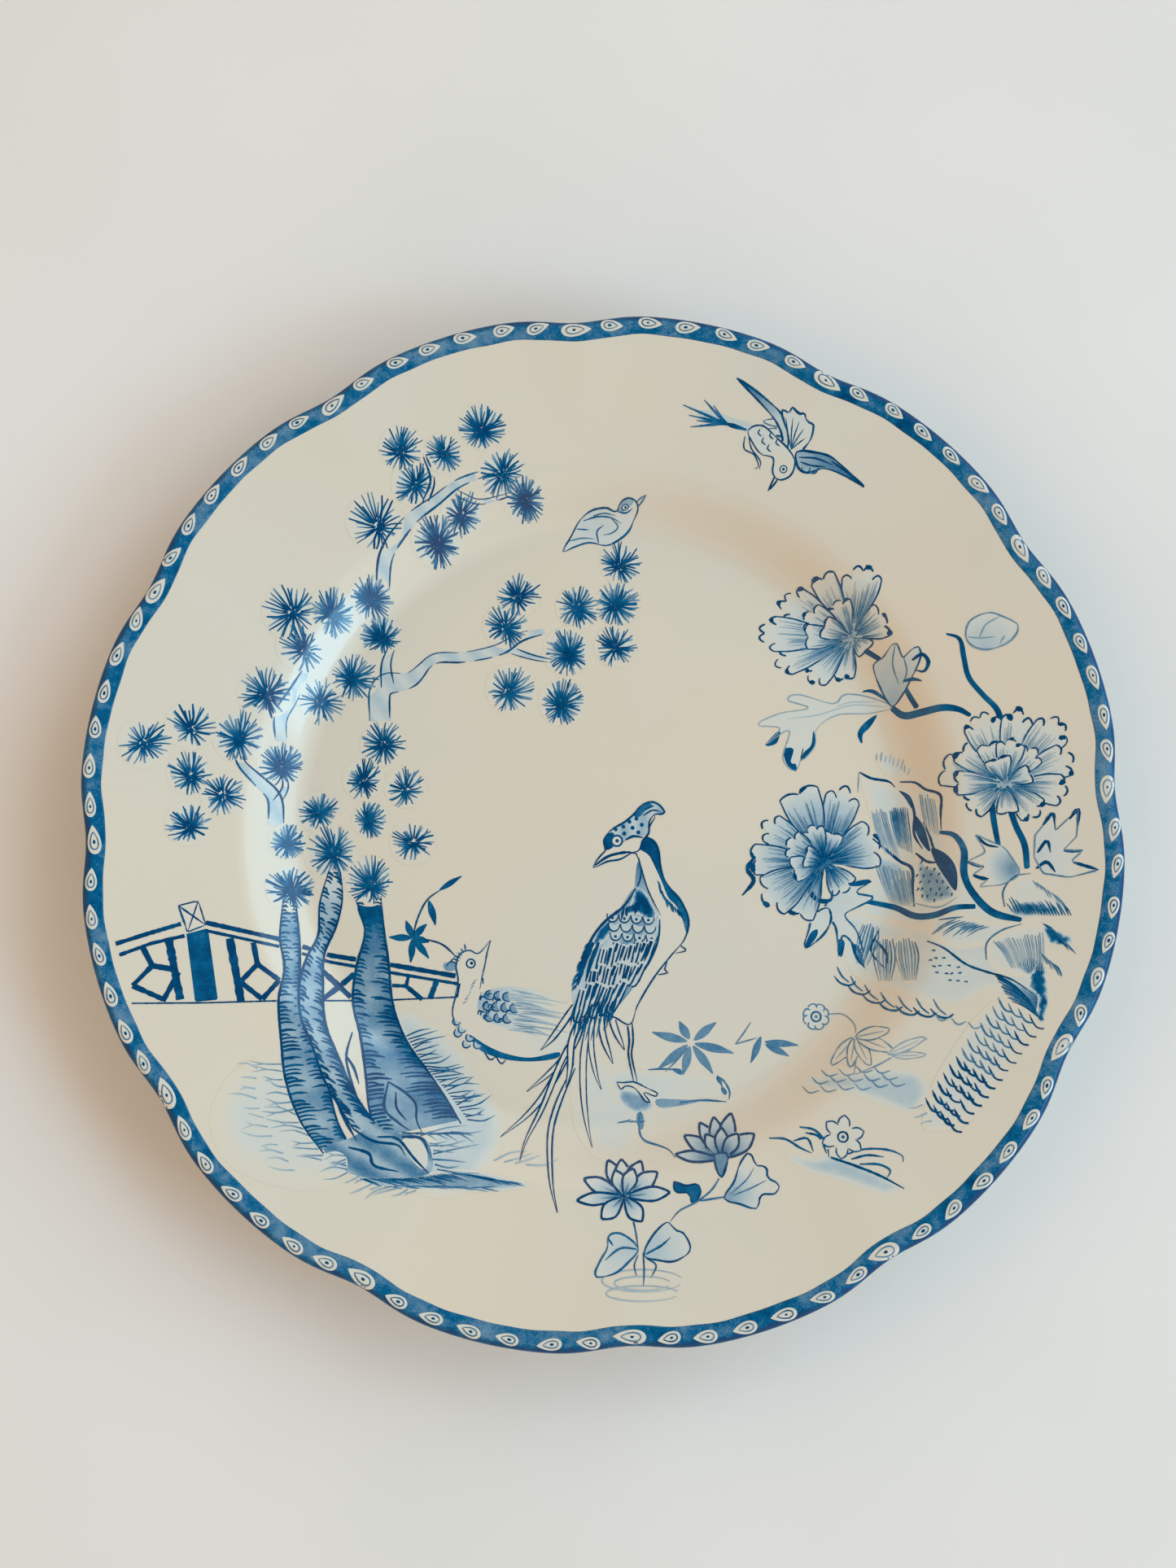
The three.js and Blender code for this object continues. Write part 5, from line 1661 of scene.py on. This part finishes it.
def draw_wild_flower(art):
    """A round flower and outlined leaves on thin stems, over rows of small marks."""
    art.wash([(50, -66), (58, -64), (68, -63), (78, -63.4), (82, -68), (78, -74), (72, -73), (64, -70),
        (56, -69)], 0.26, soft=2.5)
    for row in range(3):
        for i in range(6 - row):
            x = 51 + 4.2 * i + 2.4 * row
            y = -68.4 + 2.1 * row + 0.25 * i + art.random.uniform(-0.3, 0.3)
            art.stroke([(x, y + 1), (x + 1.6, y - 0.6), (x + 4, y)], art.near(0.34, 0.2), 0.55, (0.4, 0.5))
    strokes(art, [[(58, -49.4), (62, -49.4), (64.6, -52), (64.8, -55)],
        [(64.6, -55), (64.4, -60), (63.6, -64.6)], [(64, -64.6), (70, -62), (76, -58.6), (82, -55.6)]], 0.3,
        0.5)
    for angle, length, width in ((228, 9.6, 3), (256, 8, 2.8), (292, 8, 3.2), (338, 9.6, 3.6),
            (12, 8.6, 3.4)):
        outlined_leaf(art, 64.6, -55.2, angle, length, width)
    outlined_leaf(art, 72, -59.6, 24, 10.6, 2.4, 0.4)
    outlined_leaf(art, 73, -60, 2, 8.6, 1.8, 0.4)
    round_flower(art, 55.2, -50, 8, 3.6, 2.6, False)


def draw_daisy(art):
    """A flower with pointed petals over a few dark stems."""
    art.wash([(45, -83), (52, -85), (58, -84), (66, -87), (74, -92), (70, -94), (60, -91), (50, -88)], 0.3,
        soft=2.2)
    strokes(art, [[(42, -80.4), (46, -80.6), (49.4, -82.6), (52.4, -84)],
        [(48, -81), (51.4, -80.4), (52.8, -83.6)], [(49.6, -77.6), (53.4, -78.4), (56, -81.6), (56.6, -85)],
        [(51, -79), (54.4, -80), (56, -84)], [(60, -84.6), (65, -83), (70.6, -83), (74.4, -84.4),
        (74.6, -86)], [(64, -86.6), (68.6, -86.6), (71.4, -88), (70.6, -89.8)],
        [(62, -85.4), (66, -84.4), (70, -84.8)]], 0.5, 0.8)
    art.stroke([(57, -85), (63, -87), (69, -89.4), (74.6, -92.4)], 0.6, 0.85, (0.8, 0.3))
    round_flower(art, 60.2, -80, 6, 5, 3.4, True, 0.8)


# ---- the garden, print by print ------------------------------------------------------------------
# Each print's name, the seed of the hand's wavering, its layer, and its drawing.
GARDEN = (
    ("garden_fence", 12, 0, draw_fence),
    ("pine_tree", 11, 1, draw_pine_tree),
    ("bamboo_spray", 13, 1, draw_bamboo_spray),
    ("hen_bird", 14, 1, draw_hen),
    ("long_tailed_bird", 15, 2, draw_long_tailed_bird),
    ("river_bank", 16, 0, draw_river_bank),
    ("bamboo_shoots", 17, 1, draw_bamboo_shoots),
    ("lotus", 18, 1, draw_lotus),
    ("perched_bird", 21, 0, draw_perched_bird),
    ("flying_bird", 22, 0, draw_flying_bird),
    ("rock_garden", 26, 0, draw_rocks),
    ("shore", 27, 1, draw_shore),
    ("tall_peony", 23, 1, draw_tall_peony),
    ("rim_peony", 24, 2, draw_rim_peony),
    ("river_peony", 25, 3, draw_river_peony),
    ("wild_flower", 28, 0, draw_wild_flower),
    ("daisy", 29, 0, draw_daisy),
)
WASHED = ("river_bank", "shore")  # the prints that are mostly wash
LAYER_RISE = 0.012  # how much higher each layer lies than the one beneath it


def make_garden():
    """The 17 prints inside the band."""
    for name, seed, layer, draw in GARDEN:
        art = Print(name, seed, layer * LAYER_RISE)
        draw(art)
        art.finish("cobalt_wash" if name in WASHED else "cobalt_print", f"{name}_print")


# ---- the stage -----------------------------------------------------------------------------------
FLOOR_HALF = 3.0  # metres, as are the sizes of the lights
CAMERA_AT = (-3.754, -58.945, 512.16)
CAMERA_TARGET = (-3.383, 11.278, 0)
LENS = 44.84
ROOM = (0.69, 0.53, 0.4, 1)
OVERHEAD = (0.02, 0.05, 0.06, 1)
ROOM_STRENGTH = 1.4
DAYLIGHT = (0.33, 0.72, 1.0)
# Each window's name, azimuth, elevation and distance, its width and height, and its power.
WINDOWS = (
    ("near_window", (112, 31, 2.4), (1.0, 0.7), 20),
    ("far_window", (66, 36, 3.0), (2.6, 1.8), 43),
)


def make_floor():
    """The pale table under the plate."""
    nodes = Nodes("pale_table")
    tone = nodes.map(nodes.noise(6, 3), 0.35, 0.65)
    nodes.colour(nodes.mix(tone, srgb(232, 231, 227), srgb(237, 236, 233)))
    nodes.set(Roughness=0.75, Specular_IOR_Level=0.25)
    half = FLOOR_HALF
    corners = [(-half, -half, 0), (half, -half, 0), (half, half, 0), (-half, half, 0)]
    floor = add_mesh("floor", corners, [(0, 1, 2, 3)], nodes.material, smooth=False)


def add_window(name, place, size, power):
    """A rectangle of daylight facing the plate."""
    data = bpy.data.lights.new(name, "AREA")
    data.shape = "RECTANGLE"
    data.size, data.size_y = size
    data.energy = power
    data.color = DAYLIGHT
    light = bpy.data.objects.new(name, data)
    light.location = place
    light.rotation_euler = (-Vector(place)).to_track_quat("-Z", "Y").to_euler()
    bpy.context.scene.collection.objects.link(light)


def sky_place(azimuth, elevation, distance):
    """A place off the plate's centre: azimuth clockwise from +y and elevation, in degrees."""
    a, e = math.radians(azimuth), math.radians(elevation)
    level = distance * math.cos(e)
    return (level * math.sin(a), level * math.cos(a), distance * math.sin(e))


def make_light():
    """A warm room, darker overhead, with daylight from the right through two windows."""
    world = bpy.data.worlds.new("soft_room")
    world.use_nodes = True
    tree = world.node_tree
    place = tree.nodes.new("ShaderNodeTexCoord")
    split = tree.nodes.new("ShaderNodeSeparateXYZ")
    ramp = tree.nodes.new("ShaderNodeValToRGB")
    tree.links.new(place.outputs["Generated"], split.inputs["Vector"])
    tree.links.new(split.outputs["Z"], ramp.inputs["Fac"])
    tree.links.new(ramp.outputs["Color"], tree.nodes["Background"].inputs["Color"])
    for element, position, colour in zip(ramp.color_ramp.elements, (0.8, 0.93), (ROOM, OVERHEAD)):
        element.position = position
        element.color = colour
    tree.nodes["Background"].inputs["Strength"].default_value = ROOM_STRENGTH
    bpy.context.scene.world = world
    for name, sky, size, power in WINDOWS:
        add_window(name, sky_place(*sky), size, power)


def make_camera():
    """Nearly straight above, a little below the garden's middle."""
    place, target = Vector(CAMERA_AT) * MM, Vector(CAMERA_TARGET) * MM
    forward = (target - place).normalized()
    right = forward.cross(Vector((0, 1, 0))).normalized()
    up = right.cross(forward)
    camera = bpy.data.objects.new("camera", bpy.data.cameras.new("camera"))
    camera.data.lens = LENS
    camera.data.clip_start = 0.01
    camera.matrix_world = Matrix.Translation(place) @ Matrix((right, up, -forward)).transposed().to_4x4()
    bpy.context.scene.collection.objects.link(camera)
    bpy.context.scene.camera = camera
    bpy.context.scene.view_settings.view_transform = "Standard"


make_camera()
make_plate()
make_band()
make_beads()
make_garden()
make_floor()
make_light()
